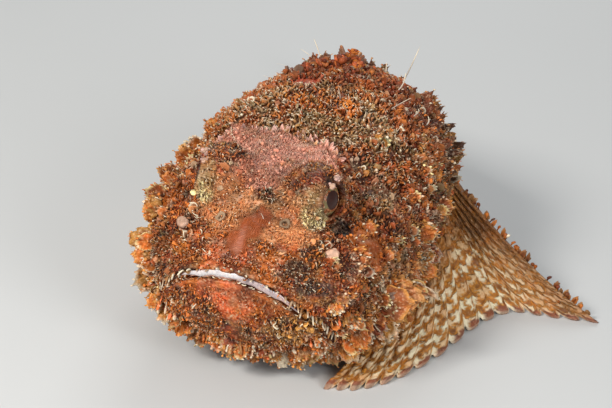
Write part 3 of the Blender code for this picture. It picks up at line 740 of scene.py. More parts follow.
# %% Orbits, lids and nostrils
EYE_RADIUS = 7.2 * MM
EYE_PLACE = np.array((15.0, -72.0, 59.8)) * MM
EYE_FORWARD = math.radians(21)
EYE_UP = math.radians(10)
ORBIT_WALL = 1.9 * MM
LID_RADIUS = 5.8 * MM
LID_THICKNESS = 1.25 * MM
LID_OFFSET = 4.6 * MM
EYE_OPENING = 5.15 * MM
NOSTRILS = [(9.6, 17.0, 53.8), (-9.1, 14.5, 52.6)]


def eye_frame(side):
    """Centre of an eye, and the direction in which it looks."""
    level = math.cos(EYE_UP)
    axis = np.array((side * math.cos(EYE_FORWARD) * level, -math.sin(EYE_FORWARD) * level, math.sin(EYE_UP)))
    return EYE_PLACE * (side, 1, 1), axis


def ball_arrays(centre, radius, rings=24, sides=36, axis=(0, 0, 1.0)):
    """A closed ball whose poles lie on an axis."""
    matrix = turn_to(Vector(axis).normalized())
    polar = np.linspace(0, math.pi, rings)
    turns = np.arange(sides) * math.tau / sides
    a, b = np.meshgrid(polar, turns, indexing="ij")
    shape = np.stack([np.sin(a) * np.cos(b), np.sin(a) * np.sin(b), np.cos(a)], axis=-1)
    body = shape[1:-1].reshape(-1, 3)
    points = np.concatenate([body, [(0, 0, 1.0), (0, 0, -1.0)]]) @ matrix.T * radius + centre
    k = np.arange(sides)
    last = (rings - 3) * sides
    top = np.stack([k, (k + 1) % sides, np.full(sides, len(body))], axis=1)
    bottom = np.stack([last + (k + 1) % sides, last + k, np.full(sides, len(body) + 1)], axis=1)
    return points, np.concatenate([halved(grid_faces(rings - 2, sides, closed=True))[:, ::-1], top, bottom])


def ring_arrays(centre, axis, radius, thickness, sides=40, around=12):
    """A closed ring about an axis."""
    matrix = turn_to(axis)
    turns, round_it = (np.arange(n) * math.tau / n for n in (sides, around))
    a, b = np.meshgrid(turns, round_it, indexing="ij")
    wide = radius + thickness * np.cos(b)
    points = np.stack([wide * np.cos(a), wide * np.sin(a), thickness * np.sin(b)], axis=-1).reshape(-1, 3)
    r, c = np.meshgrid(np.arange(sides), np.arange(around), indexing="ij")
    ids = [((r + i) % sides * around + (c + j) % around).ravel() for i, j in ((0, 0), (1, 0), (1, 1), (0, 1))]
    return points @ matrix.T + centre, halved(np.stack(ids, axis=1))


def lip_arrays():
    """Two rolls that follow the mouth above and below its line."""
    taper = np.clip(np.cos(mouth_share * math.pi / 2), 0, 1) ** 0.4
    made = []
    for way in (1, -1):
        centres = mouth + np.array((0, 0, way * LIP_LIFT)) - mouth_out * (0.5 * MM + SKIN_DEPTH * 0.5)
        made.append(tube_arrays(centres, LIP_RADIUS * taper, 12))
    return made


def head_parts():
    """Everything that is melted into the skin besides the body."""
    made = lip_arrays()
    for side in SIDES.values():
        centre, axis = eye_frame(side)
        made.append(ball_arrays(centre, EYE_RADIUS + ORBIT_WALL))
        made.append(ring_arrays(centre + axis * LID_OFFSET, axis, LID_RADIUS, LID_THICKNESS))
    return made


# %% Melt the parts into one skin
VOXEL = 0.82 * MM


def apply_modifiers(thing):
    """Turn an object with modifiers into a plain mesh."""
    graph = bpy.context.evaluated_depsgraph_get()
    settled = thing.evaluated_get(graph)
    result = bpy.data.meshes.new_from_object(settled, preserve_all_data_layers=True, depsgraph=graph)
    thing.modifiers.clear()
    thing.data = result
    return thing


def melted(name, parts, voxel):
    """One closed skin round several overlapping closed shapes."""
    points, faces = joined(parts)
    made = mesh_piece(name, points, faces)
    remesh = made.modifiers.new("melt", "REMESH")
    remesh.mode = "VOXEL"
    remesh.voxel_size = voxel
    smooth = made.modifiers.new("smooth", "SMOOTH")
    smooth.factor = 0.5
    smooth.iterations = 3
    return apply_modifiers(made)


def opened(thing, cutters):
    """Cut closed shapes out of an object."""
    for k, (points, faces) in enumerate(cutters):
        cutter = mesh_piece(f"cutter_{k}", points, faces)
        cut = thing.modifiers.new("cut", "BOOLEAN")
        cut.operation = "DIFFERENCE"
        cut.solver = "MANIFOLD"
        cut.object = cutter
        apply_modifiers(thing)
        bpy.data.objects.remove(cutter, do_unlink=True)
    return thing


def eye_cutters():
    """The room of each eyeball and the opening before it."""
    made = []
    for side in SIDES.values():
        centre, axis = eye_frame(side)
        made.append(ball_arrays(centre, EYE_RADIUS + 0.15 * MM, 30, 48))
        line = centre + axis * np.linspace(3 * MM, 16 * MM, 6)[:, None]
        made.append(tube_arrays(line, np.full(6, EYE_OPENING), 40))
    return made


skin = melted("skin", [(body_points, body_faces)] + head_parts(), VOXEL)
print("melted skin:", len(skin.data.polygons), "faces")

# %% [markdown]
# ## Relief and markings
#
# Relief and colour come from one list of zones, each a soft-edged egg on the body: a pink
# crown, a brick-red mound on the snout, smooth orange cheeks, an olive ring on the nape.
# Painting by hand would be freer, but a list can be read, moved and used again by the coat.
# The edge of each egg is frayed by noise, or the patches would look like stickers.
# The same stored values later tell the tufts how dense, long and pale to be.

# %% Zones
# The mound runs down the snout aslant: middle and half sizes in mm of three eggs.
MOUND = [
    ((3.2, 15.6, 55.4), (3.3, 4.2, 4.2)),
    ((1.0, 11.4, 53.2), (3.7, 4.2, 4.2)),
    ((-1.7, 8.0, 49.8), (3.9, 3.8, 4.2)),
]
# Name: middle (x, s, z) and half sizes in mm, tone, share of pale tips, roughness of
# the relief, and whether the zone is on both sides.
ZONES = [
    ("back", (0, 120, 70), (60, 60, 40), "rust", 0.10, 1.0, False),
    ("flank", (34, 120, 25), (30, 70, 26), "brown", 0.10, 1.0, True),
    ("tail", (0, 205, 25), (40, 50, 40), "brown", 0.12, 0.8, False),
    ("belly", (0, 90, -2), (45, 120, 9), "tan", 0.1, 0.4, False),
    ("nape", (0, 72, 72), (36, 15, 16), "moss", 0.40, 0.8, False),
    ("nape_orange", (6, 76, 72), (9, 6, 7), "orange", 0.25, 1.0, True),
    ("hump", (-4, 102, 78), (30, 14, 14), "maroon", 0.08, 0.4, False),
    ("hump_side", (24, 104, 66), (13, 16, 15), "maroon", 0.12, 0.4, False),
    ("streak", (-11.4, 87.4, 73.9), (8, 3, 3), "red", 0.0, 0.2, False),
    ("temple", (34, 44, 50), (10, 15, 13), "rust", 0.14, 1.0, True),
    ("tubercles", (31, 52, 54), (7, 6, 6), "dusk", 0.5, 0.8, True),
    ("cheek_edge", (40, 40, 26), (10, 25, 14), "tan", 0.4, 1.0, True),
    ("snout", (0, 18, 56), (23, 19, 10), "peach", 0.38, 0.45, False),
    ("crown_side", (-21, 48, 60), (14, 15, 11), "salmon", 0.30, 0.35, False),
    ("crown", (-3, 42, 63), (22, 20, 10), "salmon", 0.30, 0.35, False),
    ("upper_lip", (0, 6, 45), (30, 11, 6), "orange", 0.35, 0.7, False),
    ("lip_glow", (-3, 5, 46), (9, 6, 5), "blush", 0.45, 0.6, False),
    ("lip_left", (18, 7, 42.5), (8, 6, 5), "brown", 0.75, 0.8, False),
    *[("mound", *egg, "mound", 0.0, 0.05, False) for egg in MOUND],
    ("orange_pad", (33, 31, 46.5), (8.5, 7.5, 6), "amber", 0.05, 0.35, True),
    ("chin", (0, 12, 24), (34, 14, 16), "orange", 0.55, 0.9, False),
    ("lower_lip", (4, 4, 35), (24, 9, 5), "orange", 0.4, 0.5, False),
    ("chin_blush", (-1, 2, 35), (9, 8, 6), "blush", 0.5, 0.6, False),
    ("chin_left", (18, 8, 25), (9, 8, 9), "gold", 0.6, 0.8, False),
    ("under_eye", (18.0, 20.5, 57.0), (4.6, 4.5, 5.0), "straw", 0.85, 0.6, True),
    ("lid", (17.2, 20.3, 63.6), (4.0, 4.2, 4.2), "lid", 0.5, 0.5, True),
    ("speckle", (1.2, 22.5, 59), (3.4, 2.2, 3), "dark", 0.6, 0.9, False),
    # Painted shade: the four dark hollows below are shade painted into the skin's colour.
    ("hollow", (23.8, 29, 51.0), (4.0, 4.0, 4.0), "dark", 0.1, 0.8, True),
    ("lobe_hollow", (-27.4, 12.6, 40.6), (3.8, 4.5, 5.0), "dark", 0.05, 0.6, False),
    ("cheek_hollow", (38, 24, 36), (5, 5, 6), "dark", 0.1, 0.8, True),
    ("temple_hollow", (38, 62, 55), (6, 6, 7), "dark", 0.1, 0.8, True),
    ("red_hollow", (43, 45, 39), (6, 7, 5), "brown", 0.05, 0.5, True),
    # Painted shade: the lower side behind the cheeks is painted dark.
    ("lower_side", (41, 73, 22), (9, 15, 16), "dark", 0.2, 1.0, True),
    ("gill_tip", (39, 39, 27), (7, 10, 7), "gold", 0.6, 0.8, True),
]
# Scene-only relief in mm, as in the list of swellings.
RELIEF = np.array([
    (1.0, 12.3, 53.2, 6.0, 1.0),
    (23.8, 29.0, 51.0, 4.5, -2.4),
    (38.0, 24.0, 36.0, 5.0, -2.0),
    (38.0, 62.0, 55.0, 6.0, -2.5),
    (42.0, 42.0, 36.0, 7.0, -1.8),
    (34.0, 31.0, 46.0, 8.0, 1.0),
    (12.0, 62.5, 64.5, 5.0, -2.6),
    (-2.0, 65.0, 65.0, 5.0, -2.6),
    (-14.0, 65.0, 64.0, 5.0, -2.4),
    (10.0, 46.0, 64.0, 8.0, 1.2),
]) * MM
# Clumps of other tones: tone, seed, size in mm, where the noise starts them, largest share.
CLUMPS = [
    ("orange", 21, 5.0, 0.22, 0.65),
    ("olive", 22, 4.0, 0.34, 0.70),
    ("brick", 23, 3.5, 0.30, 0.60),
    ("cream", 24, 2.6, 0.46, 0.55),
    ("brown", 25, 3.2, 0.34, 0.75),
    ("gold", 26, 2.8, 0.42, 0.60),
]


def zone_share(points, middle, half, both):
    """How far points lie inside a zone with a frayed edge, from 0 to 1."""
    s, across, z = unbend(points)
    frayed = 0.16 * noise(points, 5 * MM, 3) + 0.10 * noise(points, 1.8 * MM, 4)
    share = np.zeros(len(points))
    for side in ((1, -1) if both else (1,)):
        off = np.stack([across - side * middle[0] * MM, s - middle[1] * MM, z - middle[2] * MM], axis=1)
        far = norm(off / (np.array(half) * MM), axis=1) + frayed
        share = np.maximum(share, 1 - rise(far, 0.85, 1.1))
    return share


def paint(points):
    """Colour, share of pale tips and roughness at points on the fish."""
    broad = noise(points, 9 * MM, 5)[:, None]
    small = noise(points, 3 * MM, 6)[:, None]
    tint = np.array(TONES["rust"]) * np.ones((len(points), 3))
    pale = np.full(len(points), 0.25)
    rough = np.ones(len(points))
    for _, middle, half, tone, pale_share, roughness, both in ZONES:
        share = zone_share(points, middle, half, both)
        tint = toward(tint, TONES[tone], share)
        pale += (pale_share - pale) * share
        rough += (roughness - rough) * share
    for tone, seed, size, start, most in CLUMPS:
        share = most * rough * rise(noise(points, size * MM, seed), start, start + 0.22)
        tint = toward(tint, TONES[tone], share)
    return tint * (1 + 0.16 * broad + 0.20 * small), pale, rough


def groove(points):
    """How much the skin is drawn in along the mouth, as a share."""
    near = np.full(len(points), 1.0)
    close = points[:, 1] < 60 * MM - HEAD_TO_ORIGIN
    some = points[close]
    best = np.full(len(some), 1.0)
    for spot in mouth[3:-3]:
        best = np.minimum(best, norm(some - spot, axis=1))
    near[close] = best
    return 1 - rise(near, 0.7 * MM, 2.1 * MM)


def normals_of(mesh):
    """Vertex normals as an array."""
    found = np.empty(len(mesh.vertices) * 3, np.float32)
    mesh.vertex_normals.foreach_get("vector", found)
    return found.reshape(-1, 3).astype(float)


def points_of(mesh):
    """Vertex places as an array."""
    found = np.empty(len(mesh.vertices) * 3, np.float32)
    mesh.vertices.foreach_get("co", found)
    return found.reshape(-1, 3).astype(float)


# %% Push the relief into the skin
def lumps_at(points):
    """Noise of three sizes for the relief."""
    coarse = 0.75 * noise(points, 6 * MM, 8) + 0.55 * noise(points, 2.6 * MM, 9)
    return coarse + 0.45 * noise(points, 1.3 * MM, 10)


def relief_at(points):
    """How far points near the skin stand out of their surroundings, as a share."""
    _, _, rough = paint(points)
    return 0.5 + 0.5 * np.clip(lumps_at(points) * rough, -1, 1) - 0.6 * groove(points)


def sculpt(mesh):
    """Move each point of the skin along its normal."""
    points, out = points_of(mesh), normals_of(mesh)
    s, across, z = unbend(points)
    _, _, rough = paint(points)
    lumps = lumps_at(points)
    coarse = 1.7 * MM * noise(points, 11 * MM, 11) * rise(np.abs(across), 16 * MM, 28 * MM)
    plateau = 1.3 * MM * zone_share(points, (-3, 40, 63), (24, 22, 11), False)
    step = swelling(RELIEF, across, s, z) + 0.62 * MM * lumps * rough + coarse + plateau
    drawn = groove(points)
    step = step * (1 - drawn) - 2.2 * MM * drawn
    eye_near = np.min([
        norm(points - (eye_frame(side)[0] + eye_frame(side)[1] * LID_OFFSET), axis=1)
        for side in SIDES.values()], axis=0)
    step *= 0.25 + 0.75 * rise(eye_near, 5 * MM, 8 * MM)
    on_floor = rise(points[:, 2], 0.1 * MM, 1.5 * MM)
    points += out * (step * on_floor)[:, None]
    points[:, 2] = np.maximum(points[:, 2], 0.0)
    mesh.vertices.foreach_set("co", points.astype(np.float32).ravel())
    mesh.update()


sculpt(skin.data)
opened(skin, eye_cutters())
skin_points = points_of(skin.data)
print("skin after the eyes are cut:", len(skin.data.polygons), "faces")

# %% Store colours on the skin
WRINKLE = 0.55 * MM
LID_RIBS = 44


def ring_at(points):
    """Count of the wrinkles of the mound, and of the ribs of the lids; 0 away from them."""
    s, across, _ = unbend(points)
    far = across * 0.8 - s * 0.6 + 1.5 * MM * noise(points, 2.6 * MM, 12)
    far = far + 0.5 * MM * noise(points, 0.9 * MM, 13)
    count = far / WRINKLE * np.max([zone_share(points, *egg, False) for egg in MOUND], axis=0)
    for side in SIDES.values():
        centre, axis = eye_frame(side)
        off = points - centre
        beside = np.cross((0, 0, 1.0), axis)
        turned = np.arctan2(off @ np.cross(axis, beside), off @ beside)
        near = 1 - rise(norm(off, axis=1), 9.5 * MM, 11.5 * MM)
        count += turned * LID_RIBS / math.tau * near * ((off @ axis) > 0)
    return count


skin_tint, skin_pale, skin_rough = paint(skin_points)
skin_degrees, skin_unwrap = unwrap(skin_points)
skin.data.materials.clear()
skin.data.materials.append(skin_finish)
skin.data.shade_smooth()
SKIN_FIELDS = {
    "tint": skin_tint, "pale": skin_pale, "relief": relief_at(skin_points),
    "wild": np.clip(skin_rough, 0, 1), "ring": ring_at(skin_points), "root_uv": skin_unwrap}
for label, values in SKIN_FIELDS.items():
    store(skin.data, label, values)
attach(skin, "root")
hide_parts("head", "lower_jaw", "torso", "tail_stalk")

# %% [markdown]
# ## Shapes of the growths
#
# Five kinds of small shape make the whole coat: sprigs of three threads, curls, frills,
# lobed plates and beads on short stalks. Each is one unit high and has only a few dozen faces,
# since it is repeated thousands of times. The point's height is stored as tip, so that
# the colour can run from a root darkened by painted shade to a pale end.

# %% Small shapes
def thread(base, lean, length, width, bend, rings, sides=3, flat=0.6, first=0.0):
    """A tapered thread: points, triangles and the share of its length at each point."""
    t = np.array(rings)
    lean = np.asarray(lean, float)
    ahead = lean / norm(lean)
    centres = np.asarray(base) + ahead * (t * length)[:, None] + np.asarray(bend) * (t ** 2 * length)[:, None]
    radii = width / 2 * (1 - 0.55 * t ** 2)
    points, faces = tube_arrays(centres, radii, sides, flat, across=(1.0, 0.15, 0.0))
    share = np.concatenate([np.repeat(t[:-1], sides), [1.0, 0.0]])
    return points, faces, first + (1 - first) * share


def shape_piece(name, threads, group):
    """A growth made of threads, kept in a collection for scattering."""
    points, faces = joined([(p, f) for p, f, _ in threads])
    tip = np.concatenate([t for _, _, t in threads])
    spot = np.stack([points[:, 0] * 0.5, points[:, 2] - 0.5, 0 * tip], axis=1)
    made = mesh_piece(name, points, faces, tip=tip, leaf_uv=np.clip(spot, -0.5, 0.5))
    scene.collection.objects.unlink(made)
    group.objects.link(made)
    return made


def collection(name):
    """A new collection in the scene."""
    made = bpy.data.collections.new(name)
    scene.collection.children.link(made)
    return made


THREE = (0, 0.55, 1)
FOUR = (0, 0.4, 0.75, 1)
fuzz = collection("fuzz")
shape_piece("sprig_a", [
    thread((0, 0, 0), (0.0, 0.0, 1), 1.0, 0.20, (0.1, 0.05, 0), THREE),
    thread((0, 0, 0.1), (0.55, 0.1, 1), 0.8, 0.17, (0.2, 0.0, 0), THREE),
    thread((0, 0, 0.05), (-0.6, -0.1, 1), 0.75, 0.17, (-0.1, 0.1, 0), THREE)], fuzz)
shape_piece("sprig_b", [
    thread((0, 0, 0), (0.2, 0.3, 1), 0.9, 0.19, (0.2, -0.3, 0), THREE),
    thread((0, 0, 0), (-0.4, 0.3, 1), 1.0, 0.16, (-0.1, 0.2, 0), THREE),
    thread((0, 0, 0.1), (0.1, -0.6, 1), 0.7, 0.17, (0.1, 0.1, 0), THREE)], fuzz)
shape_piece("sprig_c", [
    thread((0, 0, 0), (-0.1, -0.2, 1), 1.0, 0.24, (0.3, 0.2, 0), FOUR),
    thread((0, 0, 0.35), (0.7, 0.0, 1), 0.5, 0.17, (0, 0.1, 0), THREE, first=0.3)], fuzz)


# Places along a bead's axis from 0 to 1, and its widths there.
BEAD_RINGS = np.array((0, 0.45, 0.68, 0.9, 1.0))
BEAD_WIDTHS = np.array((0.40, 0.42, 1.0, 0.8, 0.2))


def bead(base, lean, length, width, sides=5):
    """A round knob on a short stalk."""
    lean = np.asarray(lean, float)
    centres = np.asarray(base) + lean / norm(lean) * (BEAD_RINGS * length)[:, None]
    points, faces = tube_arrays(centres, width / 2 * BEAD_WIDTHS, sides, 1.0, across=(1.0, 0.15, 0.0))
    return points, faces, np.concatenate([np.repeat(BEAD_RINGS[:-1], sides), [1.0, 0.0]])


curls = collection("curls")
shape_piece("curl_a", [
    thread((0, 0, 0), (-0.35, -0.3, 1), 1.0, 0.34, (0.75, 0.5, -0.35), FOUR, 4, 0.8)], curls)
shape_piece("curl_b", [
    thread((0, 0, 0), (0.4, -0.2, 1), 1.0, 0.32, (-0.8, 0.4, -0.3), FOUR, 4, 0.8),
    thread((0, 0, 0.2), (-0.5, 0.3, 0.7), 0.6, 0.26, (0.2, 0.3, 0), THREE)], curls)
shape_piece("curl_c", [
    thread((0, 0, 0), (0.0, -0.5, 1), 0.9, 0.38, (0.1, 0.9, -0.3), FOUR, 4, 0.8)], curls)


def flap_arrays(
        root, tip, out, width, lobes=3.0, cup=0.25, pointed=0.0, size=(5, 9), thickness=0.05, shift=0.0):
    """A fleshy flap from root to tip that widens to a lobed, rippled rim, as a closed shell."""
    root, tip, out = (np.asarray(v, float) for v in (root, tip, out))
    length = norm(tip - root)
    ahead = (tip - root) / length
    beside = np.cross(out, ahead)
    beside /= norm(beside)
    face = np.cross(ahead, beside)
    rows, columns = size
    t, a = np.meshgrid(np.linspace(0, 1, rows), np.linspace(-1, 1, columns), indexing="ij")
    lobe = 0.6 * np.cos(a * lobes * math.pi + shift) + 0.4 * np.cos(a * lobes * 2.3 * math.pi + 2 * shift)
    angle = a * 1.35
    arc = t * (1 + 0.11 * lobe * t ** 2) * (1 - pointed * np.abs(a) ** 0.7 * 0.6)
    reach = arc * np.cos(angle) ** 0.7
    spread = 0.15 * a + 0.98 * arc * np.sin(angle) * (1 - 0.25 * t ** 3)
    ripple = 0.09 * width * t * np.sin(a * lobes * math.pi * 1.3 + 1.0 + shift)
    lift = cup * length * (t ** 2 - 0.25 * t) + ripple
    middle = root + ahead * (reach * length)[..., None] + beside * (spread * width / 2)[..., None]
    middle = middle + face * lift[..., None]
    normal = np.cross(np.gradient(middle, axis=1), np.gradient(middle, axis=0))
    normal /= norm(normal, axis=-1, keepdims=True)
    half = normal * (thickness * length * (1 - 0.6 * t) * (1 - 0.5 * a ** 2))[..., None]
    edge = np.maximum(t, np.abs(a) ** 4 * np.minimum(t * 2.2, 1))
    return (*shell(middle + half, middle - half), np.tile(edge.ravel(), 2))


frills = collection("frills")
UP = (0, -0.15, 1.0)
SMALL = (3, 5)
shape_piece("frill_a", [
    flap_arrays((0, 0, 0), UP, (0, 1, 0.2), 1.25, 2.2, 0.4, 0.0, (3, 6), 0.12)], frills)
shape_piece("frill_b", [
    thread((0, 0, 0), (-0.5, -0.2, 1), 0.9, 0.27, (0.5, 0.3, -0.3), FOUR, 4),
    thread((0, 0, 0), (0.1, -0.3, 1), 1.0, 0.27, (-0.2, 0.5, -0.3), FOUR, 4),
    thread((0, 0, 0), (0.6, 0.1, 0.8), 0.8, 0.24, (-0.4, 0.3, 0.1), THREE, 4)], frills)
shape_piece("frill_c", [
    bead((0, 0, 0), (0.1, -0.2, 1), 0.9, 0.55),
    bead((0.05, 0, 0), (-0.6, 0.1, 0.8), 0.6, 0.42, 4)], frills)
shape_piece("frill_d", [
    flap_arrays((0, 0, 0), (0.0, -0.3, 0.8), (0, 1, 0), 1.2, 1.4, 0.2, 0.0, SMALL, 0.12, 0.7),
    thread((0.1, 0, 0.1), (0.6, 0.1, 1), 0.8, 0.2, (-0.1, 0.2, 0), THREE)], frills)
shape_piece("frill_e", [
    thread((0, 0, 0), (-0.3, -0.2, 1), 1.0, 0.28, (0.6, 0.4, -0.3), FOUR, 4),
    thread((0.1, 0, 0), (0.5, 0.2, 1), 0.8, 0.24, (-0.4, 0.3, -0.2), FOUR, 3)], frills)
plates = collection("plates")
shape_piece("plate_a", [
    flap_arrays((0, 0, 0), UP, (0, 1, 0.2), 1.7, 2.8, 0.3, 0.0, (4, 7), 0.08)], plates)
shape_piece("plate_b", [
    flap_arrays((0, 0, 0), (0.1, -0.2, 0.9), (0, 1, 0.1), 1.5, 3.6, 0.5, 0.0, (4, 8), 0.08, 2.0)], plates)
warts = collection("warts")
shape_piece("wart_a", [bead((0, 0, -0.2), (0, 0, 1), 1.1, 0.85, 6)], warts)
shape_piece("wart_b", [
    bead((0, 0, -0.2), (0.1, 0, 1), 0.9, 0.7),
    bead((0.1, 0, -0.1), (-0.5, 0.3, 0.8), 0.7, 0.45, 4)], warts)

# %% [markdown]
# ## Scattering the coat
#
# Geometry Nodes spread the growths: points are dealt over the skin, no two closer than a
# spacing, and thinned where a stored density is low. Each point gets a shape, turned along
# a stored lie, and carries the skin's own colour with it. The tree realizes the copies,
# and writes for each tuft a small patch of texture space at its root's place on the unwrap.

# %% The scattering tree
PATCH = 0.003


def named(tree, name, kind):
    """The value of a stored attribute in a geometry tree."""
    made = add(tree, "GeometryNodeInputNamedAttribute", {"Name": name}, data_type=kind)
    return made.outputs["Attribute"]


def scatter_tree():
    """Geometry Nodes that grow a coat on a skin."""
    tree = bpy.data.node_groups.new("Grow a coat", "GeometryNodeTree")
    sockets = {
        "Skin": "Geometry", "Shapes": "Collection", "Where": "String", "Spacing": "Float", "Smallest": "Float",
        "Largest": "Float", "Disorder": "Float", "Seed": "Int", "Finish": "Material"}
    for label, kind in sockets.items():
        tree.interface.new_socket(label, in_out="INPUT", socket_type=f"NodeSocket{kind}")
    tree.interface.new_socket("Coat", in_out="OUTPUT", socket_type="NodeSocketGeometry")
    given = add(tree, "NodeGroupInput").outputs

    def random_value(kind, low, high, extra):
        ins = {"FLOAT": (2, 3), "FLOAT_VECTOR": (0, 1), "INT": (4, 5)}[kind]
        seed = maths(tree, "ADD", given["Seed"], extra)
        made = add(tree, "FunctionNodeRandomValue", {ins[0]: low, ins[1]: high, "Seed": seed}, data_type=kind)
        return next(o for o in made.outputs if o.enabled)

    points = add(tree, "GeometryNodeDistributePointsOnFaces", {
        "Mesh": given["Skin"], "Distance Min": given["Spacing"], "Density Max": 4e6,
        "Density Factor": named(tree, given["Where"], "FLOAT"), "Seed": given["Seed"],
    }, distribute_method="POISSON")
    anyhow = random_value("FLOAT_VECTOR", (-1, -1, -1), (1, 1, 1), 11)
    spread = add(tree, "ShaderNodeVectorMath", {0: anyhow, "Scale": given["Disorder"]}, operation="SCALE")
    lie = named(tree, "lie", "FLOAT_VECTOR")
    way = add(tree, "ShaderNodeVectorMath", {0: lie, 1: spread.outputs[0]}, operation="ADD")
    upright = add(tree, "FunctionNodeAlignRotationToVector", {"Vector": way.outputs[0]}, axis="Z")
    facing = add(tree, "FunctionNodeAlignRotationToVector", {
        "Rotation": upright.outputs["Rotation"], "Vector": points.outputs["Normal"],
    }, axis="Y", pivot_axis="Z")
    turn_by = add(tree, "ShaderNodeCombineXYZ", {"Z": random_value("FLOAT", -1.7, 1.7, 12)})
    spin = add(tree, "FunctionNodeRotateRotation", {
        "Rotation": facing.outputs["Rotation"], "Rotate By": turn_by.outputs[0],
    }, rotation_space="LOCAL")
    shapes = add(tree, "GeometryNodeCollectionInfo", {
        "Collection": given["Shapes"], "Separate Children": True, "Reset Children": True})
    size = add(tree, "ShaderNodeMix", {
        "Factor": random_value("FLOAT", 0.0, 1.0, 13), 2: given["Smallest"], 3: given["Largest"],
    }, data_type="FLOAT")
    grown = add(tree, "GeometryNodeInstanceOnPoints", {
        "Points": points.outputs["Points"], "Instance": shapes.outputs[0], "Pick Instance": True,
        "Instance Index": random_value("INT", 0, 5, 14), "Rotation": spin.outputs["Rotation"],
        "Scale": maths(tree, "MULTIPLY", size.outputs[0], named(tree, "bulk", "FLOAT"))})
    pick = add(tree, "GeometryNodeStoreNamedAttribute", {
        "Geometry": grown.outputs["Instances"], "Name": "pick",
        "Value": random_value("FLOAT", 0.0, 1.0, 15),
    }, data_type="FLOAT", domain="INSTANCE")
    real = add(tree, "GeometryNodeRealizeInstances", {"Geometry": pick.outputs["Geometry"]})
    patch = add(tree, "ShaderNodeVectorMath", {
        0: named(tree, "leaf_uv", "FLOAT_VECTOR"), 1: (PATCH, PATCH, 0.0),
        2: named(tree, "root_uv", "FLOAT_VECTOR"),
    }, operation="MULTIPLY_ADD")
    bake = add(tree, "GeometryNodeStoreNamedAttribute", {
        "Geometry": real.outputs["Geometry"], "Name": "OFBake", "Value": patch.outputs[0],
    }, data_type="FLOAT2", domain="CORNER")
    finish = add(tree, "GeometryNodeSetMaterial", {
        "Geometry": bake.outputs["Geometry"], "Material": given["Finish"]})
    add(tree, "NodeGroupOutput", {"Coat": finish.outputs["Geometry"]})
    return tree


coat_tree = scatter_tree()
print("nodes in the tree:", len(coat_tree.nodes))

# %% [markdown]
# ## Where each coat grows, and how it lies
#
# Most growths lean towards the tail, and those on the chin hang. On the crown they stand
# like the pile of a carpet. The places are boxes in the unwrap, from one distance along
# the body to another and round it, with the eyes, the mouth and smooth patches left bare.

# %% Lie and density
def lie_of(points, out):
    """Direction in which growths point: out of the skin and over towards the tail or down."""
    s, across, z = unbend(points)
    tailward = np.tile((0.0, 1.0, 0.0), (len(points), 1))
    hang = np.tile((0.0, 0.0, -1.0), (len(points), 1))
    chin = rise(-(z - (GAPE_FRONT - GAPE_SLOPE * s)), 0, 6 * MM) * (1 - rise(s, 40 * MM, 60 * MM))
    along = tailward * (1 - chin)[:, None] + hang * chin[:, None]
    along -= out * np.sum(along * out, axis=1)[:, None]
    return out * 0.9 + along * 0.75


def bare(points):
    """0 where nothing grows: openings, smooth patches and what touches the floor."""
    s, across, z = unbend(points)
    keep = rise(z, 0.8 * MM, 3.0 * MM)
    for side in SIDES.values():
        centre, axis = eye_frame(side)
        off = points - centre
        ahead = off @ axis
        away = norm(off - ahead[:, None] * axis, axis=1)
        keep *= 1 - (ahead > 0) * (1 - rise(away, 6.0 * MM, 7.2 * MM))
        keep *= rise(norm(off, axis=1), EYE_RADIUS + 0.5 * MM, EYE_RADIUS + 1.0 * MM)
    for middle, half, both, left in BARE_PATCHES:
        keep *= 1 - zone_share(points, middle, half, both) * (1 - left)
    return keep * (1 - rise(groove(points), 0.05, 0.4))


# Smooth places: middle and half sizes in mm, whether on both sides, share of growths left.
BARE_PATCHES = [
    *[(*egg, False, 0.0) for egg in MOUND],
    ((34, 31, 46), (7.5, 6.0, 5), True, 0.3),
    ((23.8, 29, 51.0), (3.2, 3.2, 3.2), True, 0.3),
    ((17.2, 20.3, 63.6), (3.0, 3.2, 3.2), True, 0.75),
    ((42, 42, 36), (6, 6, 5), True, 0.3),
    ((-11.4, 87.4, 73.9), (7, 2.4, 3), False, 0.0),
]


def box_share(s, degrees, low_s, high_s, low, high):
    """1 inside a stretch of the unwrap, falling off over a few millimetres or degrees."""
    share = 1.0
    for value, start, end, soft in ((s, low_s * MM, high_s * MM, 3 * MM), (degrees, low, high, 5.0)):
        share = share * rise(value, start - soft, start + soft) * (1 - rise(value, end - soft, end + soft))
    return share


skin_out = normals_of(skin.data)
skin_s = unbend(skin_points)[0]
skin_clear = bare(skin_points)
skin_round = (skin_degrees + 90) % 360 - 90
crown_share = np.maximum(
    zone_share(skin_points, (-3, 42, 63), (23, 21, 11), False),
    zone_share(skin_points, (-19, 50, 60), (14, 14, 11), False))
snout_share = zone_share(skin_points, (0, 20, 58), (18, 12, 10), False)
clumps = 0.2 + 0.8 * rise(noise(skin_points, 4 * MM, 51), -0.2, 0.2)
store(skin.data, "lie", lie_of(skin_points, skin_out))
store(skin.data, "bulk", 1 + 0.4 * noise(skin_points, 2.2 * MM, 52) + 0.2 * noise(skin_points, 6 * MM, 53))

